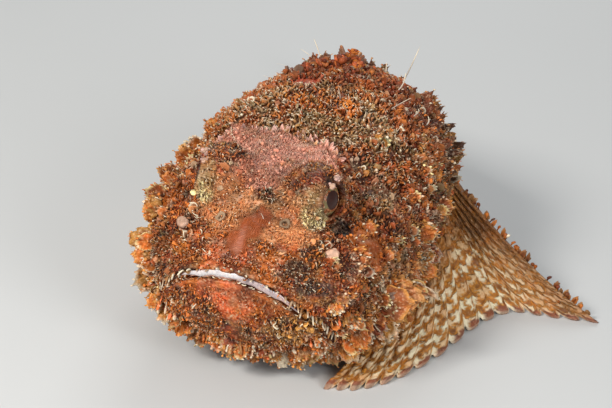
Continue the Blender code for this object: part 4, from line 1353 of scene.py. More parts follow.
# %% Coats
# Name, shapes, spacing, smallest and largest in mm, disorder, box (s from, to, degrees
# from, to), density, material slot. Degrees run from -90 at the belly over the left
# side and the back to 270.
COATS = [
    ("coat_crown", fuzz, 0.56, 0.8, 1.7, 0.4, None, 1.0, "head_skin"),
    ("coat_crown_beads", warts, 1.5, 0.7, 1.5, 0.4, None, 0.7, "head_skin"),
    ("coat_snout", fuzz, 0.79, 0.8, 1.6, 0.6, (0, 40, 8, 172), 1.0, "head_skin"),
    ("coat_face_curls", curls, 1.05, 1.3, 2.4, 0.8, (0, 46, -84, 264), 1.0, "head_skin"),
    ("coat_chin", fuzz, 0.88, 0.8, 1.8, 0.6, (0, 42, -84, 8), 1.0, "head_skin"),
    ("coat_chin_right", fuzz, 0.95, 0.8, 1.8, 0.6, (0, 42, 172, 264), 1.0, "head_skin"),
    ("coat_cheek_left", fuzz, 1.06, 1.0, 2.1, 0.6, (40, 100, -60, 56), 0.9, "head_skin"),
    ("coat_cheek_right", fuzz, 1.30, 0.9, 2.2, 0.6, (40, 100, 124, 240), 0.9, "head_skin"),
    ("coat_nape", curls, 0.88, 2.0, 3.6, 0.8, (60, 94, 30, 150), 1.0, "head_skin"),
    ("coat_cheek_curls", curls, 1.25, 1.4, 2.6, 0.9, (44, 100, -50, 230), 1.0, "head_skin"),
    ("coat_back_curls", curls, 1.7, 1.4, 2.8, 0.9, (94, 150, 10, 170), 0.9, "body_skin"),
    ("coat_frills_left", frills, 1.38, 0.9, 2.3, 0.9, (3, 100, -58, 62), 0.9, "head_skin"),
    ("coat_frills_right", frills, 1.50, 0.9, 2.5, 0.9, (3, 100, 118, 238), 0.9, "head_skin"),
    ("coat_plates", plates, 6.0, 1.4, 2.4, 0.7, (14, 100, -58, 238), 0.7, "head_skin"),
    ("coat_back_warts", warts, 1.60, 1.0, 2.1, 0.5, (86, 150, 25, 155), 0.9, "body_skin"),
    ("coat_back_fuzz", fuzz, 1.42, 1.0, 2.2, 0.8, (86, 165, 10, 170), 0.9, "body_skin"),
    ("coat_back_frills", frills, 1.9, 1.0, 2.4, 0.9, (86, 150, 20, 160), 0.8, "body_skin"),
    ("coat_flanks", frills, 2.3, 1.4, 3.0, 0.8, (92, 232, -60, 240), 0.9, "body_skin"),
    ("coat_tail", fuzz, 1.85, 1.0, 2.2, 0.6, (150, 232, -70, 250), 0.8, "body_skin"),
]


def grow_coat(number, name, shapes, spacing, smallest, largest, disorder, box, density, slot):
    """Scatter one coat and keep it as a plain mesh."""
    share = crown_share if box is None else box_share(skin_s, skin_round, *box)
    if box is not None:
        share = share * (1 - 0.95 * crown_share)
    if shapes in (frills, plates):
        share = share * (1 - 0.85 * snout_share) * clumps
    if shapes is curls:
        share = share * (1 - 0.4 * snout_share) * (0.4 + 0.6 * clumps)
        tips = skin_pale * 1.2 + 0.18
    else:
        tips = skin_pale * (0.3 if shapes in (frills, plates, warts) else 1.0)
    skin.data.attributes["pale"].data.foreach_set("value", tips.astype(np.float32))
    where = f"where_{number}"
    store(skin.data, where, share * skin_clear * density)
    made = bpy.data.objects.new(name, skin.data)
    scene.collection.objects.link(made)
    modifier = made.modifiers.new("grow", "NODES")
    modifier.node_group = coat_tree
    values = {
        "Shapes": shapes, "Where": where, "Spacing": spacing * MM, "Smallest": smallest * MM,
        "Largest": largest * MM, "Disorder": disorder, "Seed": number + 1, "Finish": tuft_finish}
    for socket in coat_tree.interface.items_tree:
        if socket.in_out == "INPUT" and socket.name in values:
            modifier[socket.identifier] = values[socket.name]
    apply_modifiers(made)
    skin.data.attributes.remove(skin.data.attributes[where])
    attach(made, "root")
    print(name, len(made.data.polygons), "triangles")
    return made


coats = [grow_coat(number, *row) for number, row in enumerate(COATS)]
total = sum(len(c.data.polygons) for c in coats)
print("coat in all:", total, "triangles")

# %% Clear the shapes away
for group in (fuzz, curls, frills, plates, warts):
    for thing in list(group.objects):
        bpy.data.objects.remove(thing, do_unlink=True)
    bpy.data.collections.remove(group)

# %% [markdown]
# ## Flaps placed one by one
#
# The ragged edge of the cheeks and the fringe of the chin are large flaps, each with a
# lobed and rippled rim that is paler than its middle. They stand where the photo shows
# them, so they are listed one by one: the place of the root, then how far the tip lies to
# the right and up as seen from the front. Each is a thin closed shell on the skin.
# The small loose ones further back stand by chance, since no single one of them is known.
# One fixed seed deals them, so the model is the same each time.

# %% Find the skin under a place
skin.data.calc_loop_triangles()
skin_triangles = np.empty(len(skin.data.loop_triangles) * 3, np.int32)
skin.data.loop_triangles.foreach_get("vertices", skin_triangles)
skin_tree = tree_of(skin_points, skin_triangles.reshape(-1, 3).tolist())


def nearest(point):
    """The nearest point of the skin to a world point, and the way out of the skin."""
    spot, out, _, _ = skin_tree.find_nearest(Vector(point))
    return np.array(spot), np.array(out)


def on_skin(x, s, z):
    """The same for a place on the body, given in mm."""
    return nearest(place(*(np.array([v * MM]) for v in (s, x, z)))[0])


def seen(right, up, nearer=0.0):
    """An offset given in mm to the right, up and nearer as seen from the front."""
    return np.array(right_way * right + up_way * up + back_way * nearer) * MM


def growth_piece(name, parts, finish=None):
    """One piece from many growths: points, faces, heights, tone, pale share and root of each."""
    points, faces = joined([(part[0], part[1]) for part in parts])
    tip = np.concatenate([part[2] for part in parts])
    tint = np.concatenate([np.broadcast_to(part[3], part[0].shape) for part in parts])
    pale = np.concatenate([np.full(len(part[0]), part[4]) for part in parts])
    pick = np.concatenate([np.full(len(part[0]), draw.random() * 0.66) for part in parts])
    roots = np.concatenate([np.tile(part[5], (len(part[0]), 1)) for part in parts])
    made = mesh_piece(
        name, points, faces, finish or tuft_finish, tip=tip, tint=tint, pale=pale, pick=pick, wild=0 * tip)
    _, unwrapped = unwrap(roots)
    off = points - roots
    off /= np.abs(off).max()
    patch = made.data.uv_layers.new(name="OFBake")
    spots = unwrapped[:, :2] + PATCH * 0.5 * np.stack([off[:, 0] + off[:, 1], off[:, 2]], axis=1)
    patch.data.foreach_set("uv", spots[faces.ravel()].astype(np.float32).ravel())
    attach(made, "root")
    print(name, len(made.data.polygons), "triangles")
    return made


# %% Large flaps of the cheeks and the chin
# Place of the root (x, s, z), tip to the right and up, width, lobes, pointed, tone, all in mm.
BIG_FLAPS = [
    (-32.3, 19.1, 37.7, -8.5, 0.5, 8.0, 3.5, 0.0, "gold"),
    (-31.5, 18.0, 34.8, -6.0, -2.2, 5.5, 2.5, 0.0, "orange"),
    (-30.9, 15.9, 31.8, -4.5, -2.0, 4.5, 2.0, 0.0, "orange"),
    (-31.6, 18.7, 26.5, -5.8, -6.0, 6.0, 2.5, 0.0, "gold"),
    (-29.1, 15.5, 25.0, -3.0, -5.8, 5.5, 2.0, 0.0, "gold"),
    (-26.5, 12.2, 22.8, -3.4, -6.2, 5.0, 2.5, 0.0, "orange"),
    (-23.4, 12.6, 20.8, -1.8, -6.0, 5.5, 2.0, 0.0, "gold"),
    (-20.4, 11.1, 19.7, -1.6, -5.0, 4.0, 1.5, 0.3, "orange"),
    (-19.3, 14.3, 16.3, -1.2, -5.5, 4.5, 2.5, 0.0, "orange"),
    (-16.6, 17.2, 13.1, -1.0, -5.0, 4.0, 2.0, 0.2, "tan"),
    (-13.2, 17.4, 11.6, -0.6, -5.2, 4.5, 2.5, 0.0, "orange"),
    (-7.7, 16.1, 11.9, -1.0, -5.0, 4.0, 2.0, 0.3, "orange"),
    (-2.7, 12.0, 14.1, 0.0, -5.6, 4.6, 2.5, 0.0, "gold"),
    (1.1, 12.2, 14.0, 0.4, -5.4, 3.6, 1.5, 0.4, "orange"),
    (2.7, 17.9, 10.4, 0.6, -4.6, 4.2, 2.5, 0.0, "tan"),
    (7.9, 17.2, 11.1, 0.4, -4.4, 4.0, 2.0, 0.2, "orange"),
    (10.5, 21.5, 8.8, 1.4, -5.6, 3.2, 1.5, 0.3, "cream"),
    (15.9, 20.8, 10.4, 1.0, -4.4, 4.2, 2.5, 0.0, "orange"),
    (19.3, 23.2, 10.9, 1.2, -4.8, 4.4, 2.0, 0.0, "gold"),
    (21.1, 29.3, 8.8, 1.4, -5.2, 4.6, 2.5, 0.0, "orange"),
    (23.9, 30.9, 9.3, 1.8, -6.0, 5.0, 2.0, 0.0, "tan"),
    (28.4, 30.7, 12.6, 2.4, -6.0, 6.0, 2.5, 0.0, "gold"),
    (30.7, 34.9, 13.2, 2.6, -6.6, 6.5, 3.0, 0.0, "gold"),
    (34.1, 37.2, 15.6, 3.6, -7.6, 6.5, 2.5, 0.0, "orange"),
    (35.5, 42.5, 15.7, 6.2, -6.8, 7.5, 3.0, 0.0, "gold"),
    (37.7, 50.7, 16.5, 6.4, -5.8, 7.0, 2.5, 0.0, "orange"),
    (38.8, 58.8, 18.2, 7.0, -3.5, 6.0, 2.0, 0.2, "tan"),
    (41.1, 55.9, 23.3, 9.4, -2.2, 8.5, 3.5, 0.6, "peach"),
    (39.0, 37.0, 27.6, 13.0, 2.0, 10.0, 3.5, 0.4, "peach"),
    (37.5, 33.0, 28.6, 7.0, 0.5, 7.0, 3.0, 0.6, "shell"),
    (38.5, 36.0, 23.5, 8.0, -2.5, 8.0, 3.0, 0.0, "gold"),
    (36.0, 37.0, 19.5, 6.0, -5.0, 8.0, 3.0, 0.0, "gold"),
    (42.2, 64.3, 25.6, 6.5, -2.0, 6.0, 2.5, 0.0, "orange"),
    (41.8, 78.5, 24.1, 5.0, -1.0, 5.5, 2.5, 0.0, "brick"),
    (42.7, 64.0, 38.2, 5.0, 1.5, 5.0, 2.5, 0.0, "brick"),
    (42.6, 83.9, 39.0, 4.5, 2.0, 5.0, 2.0, 0.0, "rust"),
    (-33.5, 24.9, 43.6, -5.2, 1.8, 5.5, 2.5, 0.0, "orange"),
    (-33.9, 29.4, 46.9, -5.4, 2.4, 5.0, 2.0, 0.0, "rust"),
    (-37.5, 40.0, 45.0, -5.0, 3.0, 5.0, 2.5, 0.0, "orange"),
    (-40.1, 53.6, 42.3, -5.2, 4.0, 5.0, 2.0, 0.2, "rust"),
    (-39.1, 62.7, 46.2, -4.8, 4.4, 6.0, 2.5, 0.0, "orange"),
    (-37.6, 66.6, 49.5, -3.8, 5.2, 5.0, 2.0, 0.0, "orange"),
    (-33.2, 68.3, 55.3, -2.4, 5.2, 4.5, 2.5, 0.2, "rust"),
    (28.8, 12.5, 35.7, 1.0, -4.0, 4.5, 2.5, 0.0, "orange"),
    (31.1, 17.5, 28.8, 1.6, -4.6, 5.5, 3.0, 0.0, "tan"),
    (32.3, 27.4, 18.9, 2.6, -5.2, 6.0, 3.0, 0.0, "orange"),
    (24.6, 14.0, 20.2, 0.8, -4.6, 4.6, 2.5, 0.0, "orange"),
    (18.9, 14.9, 16.4, 0.6, -4.4, 4.4, 2.0, 0.0, "tan"),
]
# How deep a flap's root lies, how far it reaches of what is listed, how wide a round one is
# for its length, and its beads, share of threads in the fringe and smaller neighbours.
FLAP_SUNK = 0.6 * MM
FLAP_REACH = 0.78
ROUND_FLAP = (1.15, 1.55)
KNOBS = 6
THREAD_SHARE = 0.12
NEIGHBOURS = 2


def painted_rim(shape, tone, rim_tone):
    """Colours of a flap: dark at the root, mottled, with a narrow pale rim."""
    points, _, edge = shape
    grain = 0.78 + 0.30 * noise(points, 1.5 * MM, 61) + 0.2 * noise(points, 4 * MM, 62)
    grain = grain + 0.3 * noise(points, 0.6 * MM, 63)
    tint = np.array(TONES[tone]) * (grain * (0.25 + 0.75 * rise(edge, 0.05, 0.6)))[:, None]
    return toward(tint, TONES[rim_tone], 0.75 * rise(edge, 0.88, 1.0))


def fringe(shape, columns, rows, outward_way, root, tone):
    """Beads and a few short threads along the rim of a flap."""
    points = shape[0][:columns * rows].reshape(rows, columns, 3)
    made = []
    for j in range(0, columns, 2):
        spot = points[-1, j]
        along = spot - points[-3, j]
        lean = along / norm(along) + outward_way * between(-0.3, 0.5) + jitter(0.4)
        if draw.random() < THREAD_SHARE:
            thin, faces, tip = thread(
                spot - lean * 0.2 * MM, lean, between(0.8, 1.7) * MM, 0.4 * MM,
                (between(-0.4, 0.4), 0, between(-0.5, 0.3)), (0, 0.5, 0.8, 1), 4, 0.8)
        else:
            thin, faces, tip = bead(
                spot - lean * 0.5 * MM, lean, between(0.8, 1.4) * MM, between(0.75, 1.25) * MM)
        colour = np.array(TONES[tone]) * between(0.7, 1.15)
        made.append((thin, faces, 0.6 + 0.4 * tip, colour, 0.3, root))
    return made


def knob(shape, size, out, root, tone):
    """A bead on the face of a flap."""
    points = shape[0][:size[0] * size[1]].reshape(*size, 3)
    spot = points[draw.randrange(2, size[0]), draw.randrange(1, size[1] - 1)]
    lean = np.array(back_way) + out * 0.6 + jitter(0.4)
    points, faces, tip = bead(
        spot - lean * 0.2 * MM, lean, between(0.7, 1.4) * MM, between(0.6, 1.3) * MM, 4)
    return points, faces, 0.5 + 0.5 * tip, np.array(TONES[tone]) * between(0.6, 1.1), 0.2, root


def big_flap(x, s, z, right, up, width, lobes, pointed, tone, share=1.0):
    """One large flap with its colours and fringe; share makes a smaller neighbour."""
    root, out = on_skin(x, s, z)
    reach = seen(right, up) * share * (1.0 if pointed > 0.5 else FLAP_REACH)
    tip = root + reach + out * between(0.6, 1.8) * MM
    size = (6, 15)
    across = width * share * MM
    if pointed < 0.5:
        across = max(across, norm(tip - root) * between(*ROUND_FLAP))
    shape = flap_arrays(
        root - out * FLAP_SUNK, tip, out + np.array(back_way) * between(0.2, 0.9), across, lobes + 0.4,
        between(-0.3, 0.35), pointed, size, 0.05, between(0, 6))
    rim_tone = draw.choice(("straw", "cream", "gold", "gold"))
    made = [(*shape, painted_rim(shape, tone, rim_tone), 0.0, root)]
    for _ in range(0 if pointed > 0.5 else KNOBS):
        made.append(knob(shape, size, out, root, draw.choice(("gold", "orange", "rust", "tan", rim_tone))))
    return made + fringe(shape, size[1], size[0], out, root, draw.choice((rim_tone, "gold", "orange", tone)))


def with_neighbours(row):
    """A large flap and a few smaller ones round it."""
    x, s, z, right, up, width, lobes, pointed, tone = row
    made = big_flap(*row)
    for _ in range(NEIGHBOURS):
        shift = jitter(3.4)
        made += big_flap(
            x + shift[0] * 0.5, s + shift[1], z + shift[2],
            right + between(-2.5, 2.5), up + between(-2.5, 2.5), width,
            draw.choice((1.5, 2.0, 2.5, 3.0)), 0.0,
            draw.choice((tone, "orange", "rust", "gold", "brick", "tan")), between(0.45, 0.8))
    return made


edge_flaps = [part for row in BIG_FLAPS for part in with_neighbours(row)]
growth_piece("flaps_edge", edge_flaps, flap_finish)

# %% Fleshy fingers under the chin
FINGERS = 76
HANGING = [row for row in BIG_FLAPS if row[4] < -4.2]


def finger():
    """A narrow strip that hangs from the edge of the chin."""
    x, s, z, right, up = draw.choice(HANGING)[:5]
    root, out = on_skin(x + between(-2.5, 2.5), s + between(-3, 1), z + between(-1, 3))
    reach = seen(right * 0.4 + between(-1.0, 1.0), up * between(0.6, 0.9), between(0.0, 1.5))
    length = min(norm(reach), root[2] - 2 * MM)
    points, faces, tip = bead(root - out * 0.4 * MM, reach + out * MM, length, between(0.8, 1.5) * MM, 6)
    tone = some_tone(("orange", "brick", "gold", "cream", "tan", "blush"), 0.6, 1.0)
    return points, faces, 0.35 + 0.65 * tip, tone, 0.3, root


growth_piece("chin_fingers", [finger() for _ in range(FINGERS)], flap_finish)

# %% Flaps over cheeks, temples, hump and flanks
# Stretch of the unwrap (s from, to in mm, degrees from, to), number, shortest and longest in mm.
FLAP_FIELDS = [
    (16, 98, -50, 40, 80, 2.0, 3.6),
    (16, 98, 140, 230, 55, 2.0, 3.6),
    (62, 100, 20, 60, 16, 2.0, 3.2),
    (96, 150, 20, 160, 30, 2.0, 3.4),
    (97, 136, 2, 50, 54, 3.4, 6.4),
    (100, 190, -40, 220, 40, 3.0, 5.0),
]
BACK_SHADE = 0.6


def loose_flap(low_s, high_s, low, high, shortest, longest):
    """A flap at a chance place, leaning towards the tail or down."""
    s, degrees = between(low_s, high_s), between(low, high)
    root, out = nearest(body_surface(np.array([s * MM]), np.array([degrees]))[0])
    along = np.array((between(-0.5, 0.5), 0.8, -0.5 if s < 60 else between(-0.3, 0.3)))
    lean = out * between(0.7, 1.3) + along * between(0.4, 1.0)
    length = between(shortest, longest) * MM
    tip = root + lean / norm(lean) * length
    size = (5, 9)
    wide = between(0.5, 0.8) if longest > 6 else between(0.9, 1.5)
    shape = flap_arrays(
        root - out * FLAP_SUNK, tip, out, length * wide, draw.choice((2.5, 3.0, 4.0)),
        between(-0.3, 0.4), 0.0, size, 0.06, between(0, 6))
    local, _, _ = paint(root[None])
    rim_tone = draw.choice(("rust", "tan", "orange") if s > 94 else ("straw", "gold", "orange", "tan"))
    tint = painted_rim(shape, "orange", rim_tone)
    mixed = 0.85 if s > 94 else 0.6
    tint = (1 - mixed) * tint + mixed * tint * (local / np.array(TONES["orange"])).clip(0.2, 1.6)
    tint = tint * (BACK_SHADE if s > 94 else 1.0)
    made = [(*shape, tint, 0.0, root)]
    return made + fringe(shape, size[1], size[0], out, root, rim_tone)


loose = []
for low_s, high_s, low, high, count, shortest, longest in FLAP_FIELDS:
    for _ in range(count):
        loose += loose_flap(low_s, high_s, low, high, shortest, longest)
growth_piece("flaps_loose", loose, flap_finish)

# %% Long filaments
# Place of the root (x, s, z), tip to the right and up, in mm.
FILAMENTS = [
    (-23.4, 94.7, 68.0, -2.1, 3.5), (-18.3, 103.6, 69.9, -3.2, 4.6), (-9.6, 102.5, 74.0, -3.5, 7.0),
    (-11.4, 114.3, 70.5, -1.4, 8.2), (16.8, 117.5, 67.0, 5.6, 8.4), (18.2, 103.6, 69.5, 7.4, 4.6),
    (24.8, 125.9, 57.1, 2.5, 3.2), (26.3, 91.5, 65.2, 10.0, 4.5), (10.7, 120.4, 68.3, -0.7, 3.9),
    (32.5, 124.2, 48.4, 5.2, 2.8), (29.0, 96.0, 60.0, 6.0, 3.0), (20.0, 88.0, 68.0, 5.0, 3.4),
]


def filament(x, s, z, right, up, thickness=0.6):
    """A thin whitish thread that bows upwards."""
    root, out = on_skin(x, s, z)
    reach = seen(right, up)
    length = norm(reach)
    points, faces, tip = thread(
        root - out * 0.5 * MM, reach + out * length * 0.5, length, thickness * MM,
        (between(-0.7, 0.7), between(-0.4, 0.4), between(-0.5, 0.6)),
        (0, 0.15, 0.3, 0.45, 0.6, 0.75, 0.9, 1), 5, 0.9)
    return points, faces, 0.3 + 0.7 * tip, np.array(TONES["thread"]), 1.0, root


threads = [filament(*row) for row in FILAMENTS]
for _ in range(150):
    s, degrees = between(14, 130), between(-40, 220)
    spot = body_surface(np.array([s * MM]), np.array([degrees]))
    (s_at,), (x_at,), (z_at,) = unbend(spot)
    threads.append(filament(
        x_at / MM, s_at / MM, z_at / MM, between(-2.5, 2.5), between(0.5, 2.8), between(0.22, 0.36)))
growth_piece("filaments", threads)

# %% Ragged rear edge of the crown
# Places along the edge (x, s, z) in mm.
CROWN_EDGE = np.array([
    (-30, 57, 56), (-24, 60, 60), (-15, 62, 63), (-6, 62.5, 64), (3, 61, 64), (10, 58, 64), (15, 52, 63)])
EDGE_POINTS = 46


def crown_point(share):
    """A pointed pink flap that stands on the rear edge of the crown."""
    x, s, z = (np.interp(share, np.linspace(0, 1, len(CROWN_EDGE)), column) for column in CROWN_EDGE.T)
    root, out = on_skin(x + between(-1, 1), s + between(-2.0, 0.8), z)
    length = between(1.2, 2.8) * MM
    tip = root + (out + np.array((between(-0.4, 0.4), between(-0.1, 0.5), 0))) * length
    shape = flap_arrays(
        root - out * FLAP_SUNK, tip, np.array((0, -1, 0.3)), length * between(0.6, 1.1), 1.5, 0.1,
        between(0.2, 0.8), (4, 7), 0.08, between(0, 6))
    return (*shape, painted_rim(shape, draw.choice(("salmon", "salmon", "pink", "tan")), "pink"), 0.0, root)


crown_points = [crown_point((k + draw.random()) / EDGE_POINTS) for k in range(EDGE_POINTS)]
growth_piece("crown_edge", crown_points)

# %% [markdown]
# ## Mouth, nostrils and small things of the face
#
# Between the lips shows a pale band of the breathing membrane, lilac and smooth, with a
# comb of short cream hooks on both lips beside it. The front nostrils are short tubes.
# Two pale oval pads lie outside them, and bulbs of pink beads stand over the pupils.
# One shape bent to fit all of these would fit none, so each has a short function of its own.

# %% Membrane between the lips
# From, to as shares of the mouth, shift up in mm, tone, then half height in mm at even steps.
MEMBRANE_FOLDS = [
    (-0.42, 0.26, 0.25, (0.66, 0.62, 0.63), (0.08, 0.70, 1.20, 1.30, 1.15, 0.85, 0.40, 0.08)),
    (-0.06, 0.56, -0.15, (0.46, 0.36, 0.36), (0.08, 0.55, 0.85, 1.00, 0.95, 0.75, 0.50, 0.30, 0.08)),
    (-0.34, 0.16, -0.80, (0.40, 0.21, 0.16), (0.08, 0.45, 0.60, 0.60, 0.45, 0.08)),
    (0.10, 0.48, 0.75, (0.62, 0.57, 0.60), (0.08, 0.30, 0.40, 0.35, 0.08)),
]


def membrane(start, end, shift, half):
    """A smooth band along the mouth that narrows to its ends."""
    keep = (mouth_share > start) & (mouth_share < end)
    where = (mouth_share[keep] - start) / (end - start)
    wide = np.interp(where, np.linspace(0, 1, len(half)), half) * MM
    wide = wide * (1 + 0.12 * np.sin(where * 31 + start) + 0.08 * np.sin(where * 57))
    wave = 0.2 * MM * np.sin(where * 19) + shift * MM
    centres = mouth[keep] + mouth_out[keep] * (0.45 * MM) + np.array((0, 0, 1)) * wave[:, None]
    points, faces = tube_arrays(centres, wide, 16, 0.72, across=(0, 0, 1.0))
    return outward(points, faces)


membrane_finish, tree, shader = surface_of("pale_membrane", 0.45, 0.2)
grained(tree, shader, stored(tree, "tint", "Color"), 0.3, 0.3, 0.15 * MM)
folds = [membrane(start, end, shift, half) for start, end, shift, _, half in MEMBRANE_FOLDS]
fold_tones = np.concatenate([np.tile(row[3], (len(fold[0]), 1)) for row, fold in zip(MEMBRANE_FOLDS, folds)])
band = mesh_piece("mouth_membrane", *joined(folds), membrane_finish, tint=fold_tones)
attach(band, "root")

# %% Hooks on the lips
# Stretch of the mouth from -1, the right corner, to 1; number; upper lip 1 or lower -1;
# shortest and longest in mm.
HOOK_ROWS = [
    (-0.86, -0.30, 11, 1, 0.9, 1.5),
    (-0.98, -0.44, 7, -1, 0.7, 1.2),
    (-0.40, 0.30, 16, -1, 0.6, 1.2),
    (-0.20, 0.50, 12, 1, 0.6, 1.1),
    (0.45, 0.98, 13, 1, 0.9, 1.5),
    (0.32, 0.98, 12, -1, 0.8, 1.3),
]
# Share of the mouth from which the upper hooks turn down.
CORNER = 0.42


def lip_hook(share, way, shortest, longest):
    """A short curved hook on the upper lip, way 1, or the lower, way -1."""
    i = (share + 1) / 2 * (len(mouth) - 1)
    low = min(max(int(i), 0), len(mouth) - 2)
    along = mouth[low + 1] - mouth[low]
    spot = mouth[low] + along * (i - low) + np.array((0, 0, way * between(1.3, 1.8) * MM))
    root, skin_way = nearest(spot + mouth_out[low] * 0.6 * MM)
    length = 1.3 * between(shortest, longest) * MM
    sideways = along / norm(along) * math.copysign(between(0.1, 0.6), share - 0.02)
    turned = -0.7 if abs(share) > CORNER and way > 0 else 1.0
    lean = skin_way * 0.7 + np.array((0, 0, turned * way * between(0.7, 1.0))) + sideways
    bend = skin_way * between(0.2, 0.5) - np.array((0, 0, way * between(0.3, 0.6)))
    points, faces, tip = thread(
        root + skin_way * 0.1 * MM, lean, length, between(0.55, 0.95) * MM,
        bend, (0, 0.2, 0.4, 0.6, 0.8, 0.93, 1), 6, 0.8)
    tone = some_tone(("cream", "cream", "tan", "dusk"), 0.65, 1.0)
    return points, faces, 0.2 + 0.8 * tip, tone, draw.choice((0.2, 1.0)), root


hooks = []
for low, high, count, way, shortest, longest in HOOK_ROWS:
    for k in range(count):
        share = low + (high - low) * (k + between(0.25, 0.75)) / count
        hooks.append(lip_hook(share, way, shortest, longest))
growth_piece("lip_hooks", hooks)

# %% Nostrils, pads and beads
# Rings from the foot over the rim and down inside: radius and height in mm, and how far each ring is out of
# the painted shade, which is deepest inside the tube.
NOSTRIL_RINGS = np.array([
    (1.5, -0.6, 0.5), (1.4, 0.5, 0.7), (1.6, 1.0, 1.0), (1.4, 1.3, 1.0),
    (0.95, 1.1, 0.6), (0.8, 0.5, 0.1), (0.7, -0.4, 0.0)])
NOSTRIL_SIDES = 18


def nostril(x, s, z):
    """A short tube with an open rim, darkened inside and at its foot by painted shade."""
    root, out = on_skin(x, s, z)
    shape = NOSTRIL_RINGS[:, :2] * MM
    n = NOSTRIL_SIDES
    k = np.arange(n)
    rings = np.array([[(r * math.cos(a), r * math.sin(a), h) for a in k * math.tau / n] for r, h in shape])
    points = np.concatenate([rings.reshape(-1, 3), [(0, 0, shape[-1][1]), (0, 0, shape[0][1])]])
    last = (len(shape) - 1) * n
    caps = [np.stack([last + k, last + (k + 1) % n, np.full(n, last + n)], axis=1)]
    caps.append(np.stack([(k + 1) % n, k, np.full(n, last + n + 1)], axis=1))
    faces = np.concatenate([halved(grid_faces(len(shape), n, closed=True)), *caps])
    tip = np.concatenate([np.repeat(NOSTRIL_RINGS[:, 2], n), [0.0, 0.5]])
    points = points @ turn_to(out).T
    points += points * (0.30 * noise(points + root, 1.0 * MM, 71))[:, None]
    return (*outward(points + root, faces), tip, np.array(TONES["dusk"]), 0.0, root)


def pad(x, s, z, wide, high, tone, stand=0.55, dimple=0.35):
    """A low oval pad or bead on the skin, with a dimple in its middle."""
    root, out = on_skin(x, s, z)
    points, faces = ball_arrays(np.zeros(3), 1.0, 17, 26)
    level = points[:, 2].copy()
    near = np.hypot(points[:, 0], points[:, 1])
    points[:, 2] -= dimple * np.exp(-(near / 0.4) ** 2) * (level > 0)
    points *= np.array((wide, high, stand * min(wide, high) * 1.6)) * MM
    points *= 1 + 0.16 * noise(points + root, 1.1 * MM, 73)[:, None]
    grain = 1 + 0.35 * noise(points + root, 0.7 * MM, 74) + 0.3 * noise(points + root, 1.6 * MM, 75)
    tint = np.array(TONES[tone]) * grain[:, None]
    return (*outward(points @ turn_to(out).T + root, faces), 0.45 + 0.2 * level, tint, 0.0, root)


# Place of the root (x, s, z), half width and height in mm, tone, how far it stands, dimple.
PADS = [
    (24.9, 19.4, 46.6, 2.5, 2.1, "shell", 0.4, 0.3),
    (-22.6, 17.1, 47.1, 2.8, 1.8, "shell", 0.4, 0.3),
    (-17.6, 18.8, 60.6, 0.7, 0.7, "straw", 0.9, 0.0),
    (-12.2, 19.2, 60.0, 1.1, 0.9, "dusk", 0.35, 0.2),
]
# Bunches of beads: place in mm, how far they reach, number, size, tones.
BUNCHES = [
    ((21.0, 28.2, 67.2), 2.3, 12, 1.4, ("shell", "pink")),
    ((21.0, 24.4, 66.4), 2.0, 10, 1.3, ("shell", "pink")),
    ((-19.7, 25.4, 67.6), 2.3, 12, 1.4, ("shell", "pink")),
    ((-18.8, 22.2, 66.6), 2.0, 10, 1.3, ("shell", "pink")),
    ((-2.5, 104.0, 77.0), 5.2, 30, 2.3, ("brick", "maroon", "rust")),
    ((-8.0, 102.0, 76.0), 4.4, 24, 2.1, ("brick", "maroon", "rust")),
    ((-14.0, 101.0, 74.0), 3.4, 20, 1.9, ("brick", "maroon", "orange")),
    ((3.5, 105.0, 76.0), 4.2, 20, 2.0, ("brick", "maroon", "orange")),
    ((1.0, 111.0, 76.0), 4.6, 26, 2.0, ("brick", "orange")),
    ((-3.5, 108.0, 75.0), 3.4, 12, 1.5, ("rust", "orange")),
    ((-27.0, 46.0, 58.0), 2.6, 12, 1.4, ("orange", "amber")),
]


def bunch(root, out, reach, count, size, tones):
    """Beads that spread from one root, as a soft knobbed bulb."""
    made = []
    for _ in range(count):
        lean = out + 0.75 * jitter(1)
        points, faces, tip = bead(
            root - out * 0.4 * MM, lean,
            between(0.7, 1.0) * reach * MM, between(0.8, 1.2) * size * MM, 7)
        made.append((points, faces, 0.5 + 0.5 * tip, some_tone(tones, 0.7, 1.1), 0.0, root))
    return made


small_things = [nostril(*row) for row in NOSTRILS]
for place_in_mm, *rest in BUNCHES:
    small_things += bunch(*on_skin(*place_in_mm), *rest)
small_things += [pad(*row) for row in PADS]
# Sprays of whitish threads beside the pads: place in mm, number, longest.
SPRAYS = [
    ((20.9, 18.5, 48.6), 9, 2.6), ((-17.9, 16.6, 49.7), 8, 2.2), ((-9.2, 4.9, 44.9), 7, 1.8),
    ((7.2, 60.0, 64.0), 9, 2.6), ((-23.6, 60.0, 60.7), 9, 2.8), ((1.2, 22.5, 59.0), 7, 1.4),
]


def spray(place_in_mm, count, longest):
    """A few whitish threads that spread from one place."""
    made = []
    for _ in range(count):
        root, out = on_skin(*(v + between(-1.2, 1.2) for v in place_in_mm))
        lean = out + jitter(0.8)
        points, faces, tip = thread(
            root - out * 0.3 * MM, lean,
            between(0.6, 1.0) * longest * MM, between(0.4, 0.65) * MM,
            (between(-0.6, 0.6), 0, between(-0.4, 0.4)), (0, 0.3, 0.6, 0.85, 1), 5, 0.8)
        colour = np.array(TONES["cream"]) * between(0.8, 1.05)
        made.append((points, faces, 0.4 + 0.6 * tip, colour, 1.0, root))
    return made


for row in SPRAYS:
    small_things += spray(*row)
growth_piece("nostrils_and_pads", small_things)

# %% [markdown]
# ## Eyes
#
# The pupil is a dark upright oval in an iris that is mottled like the skin, which hides
# the eye. A clear wet layer over both gives the eye its small sharp light. Each eye is one
# ball that stores the angle from its axis, and the material draws pupil and iris from it,
# where separate discs would leave an edge.

# %% Eyes
# In degrees from the axis, and the cornea's height and the pupil's extra height as shares.
PUPIL_EDGE = 20.5
CORNEA_EDGE = 42
IRIS_EDGE = 52.0
CORNEA_RISE = 0.04
PUPIL_TALLER = 0.14


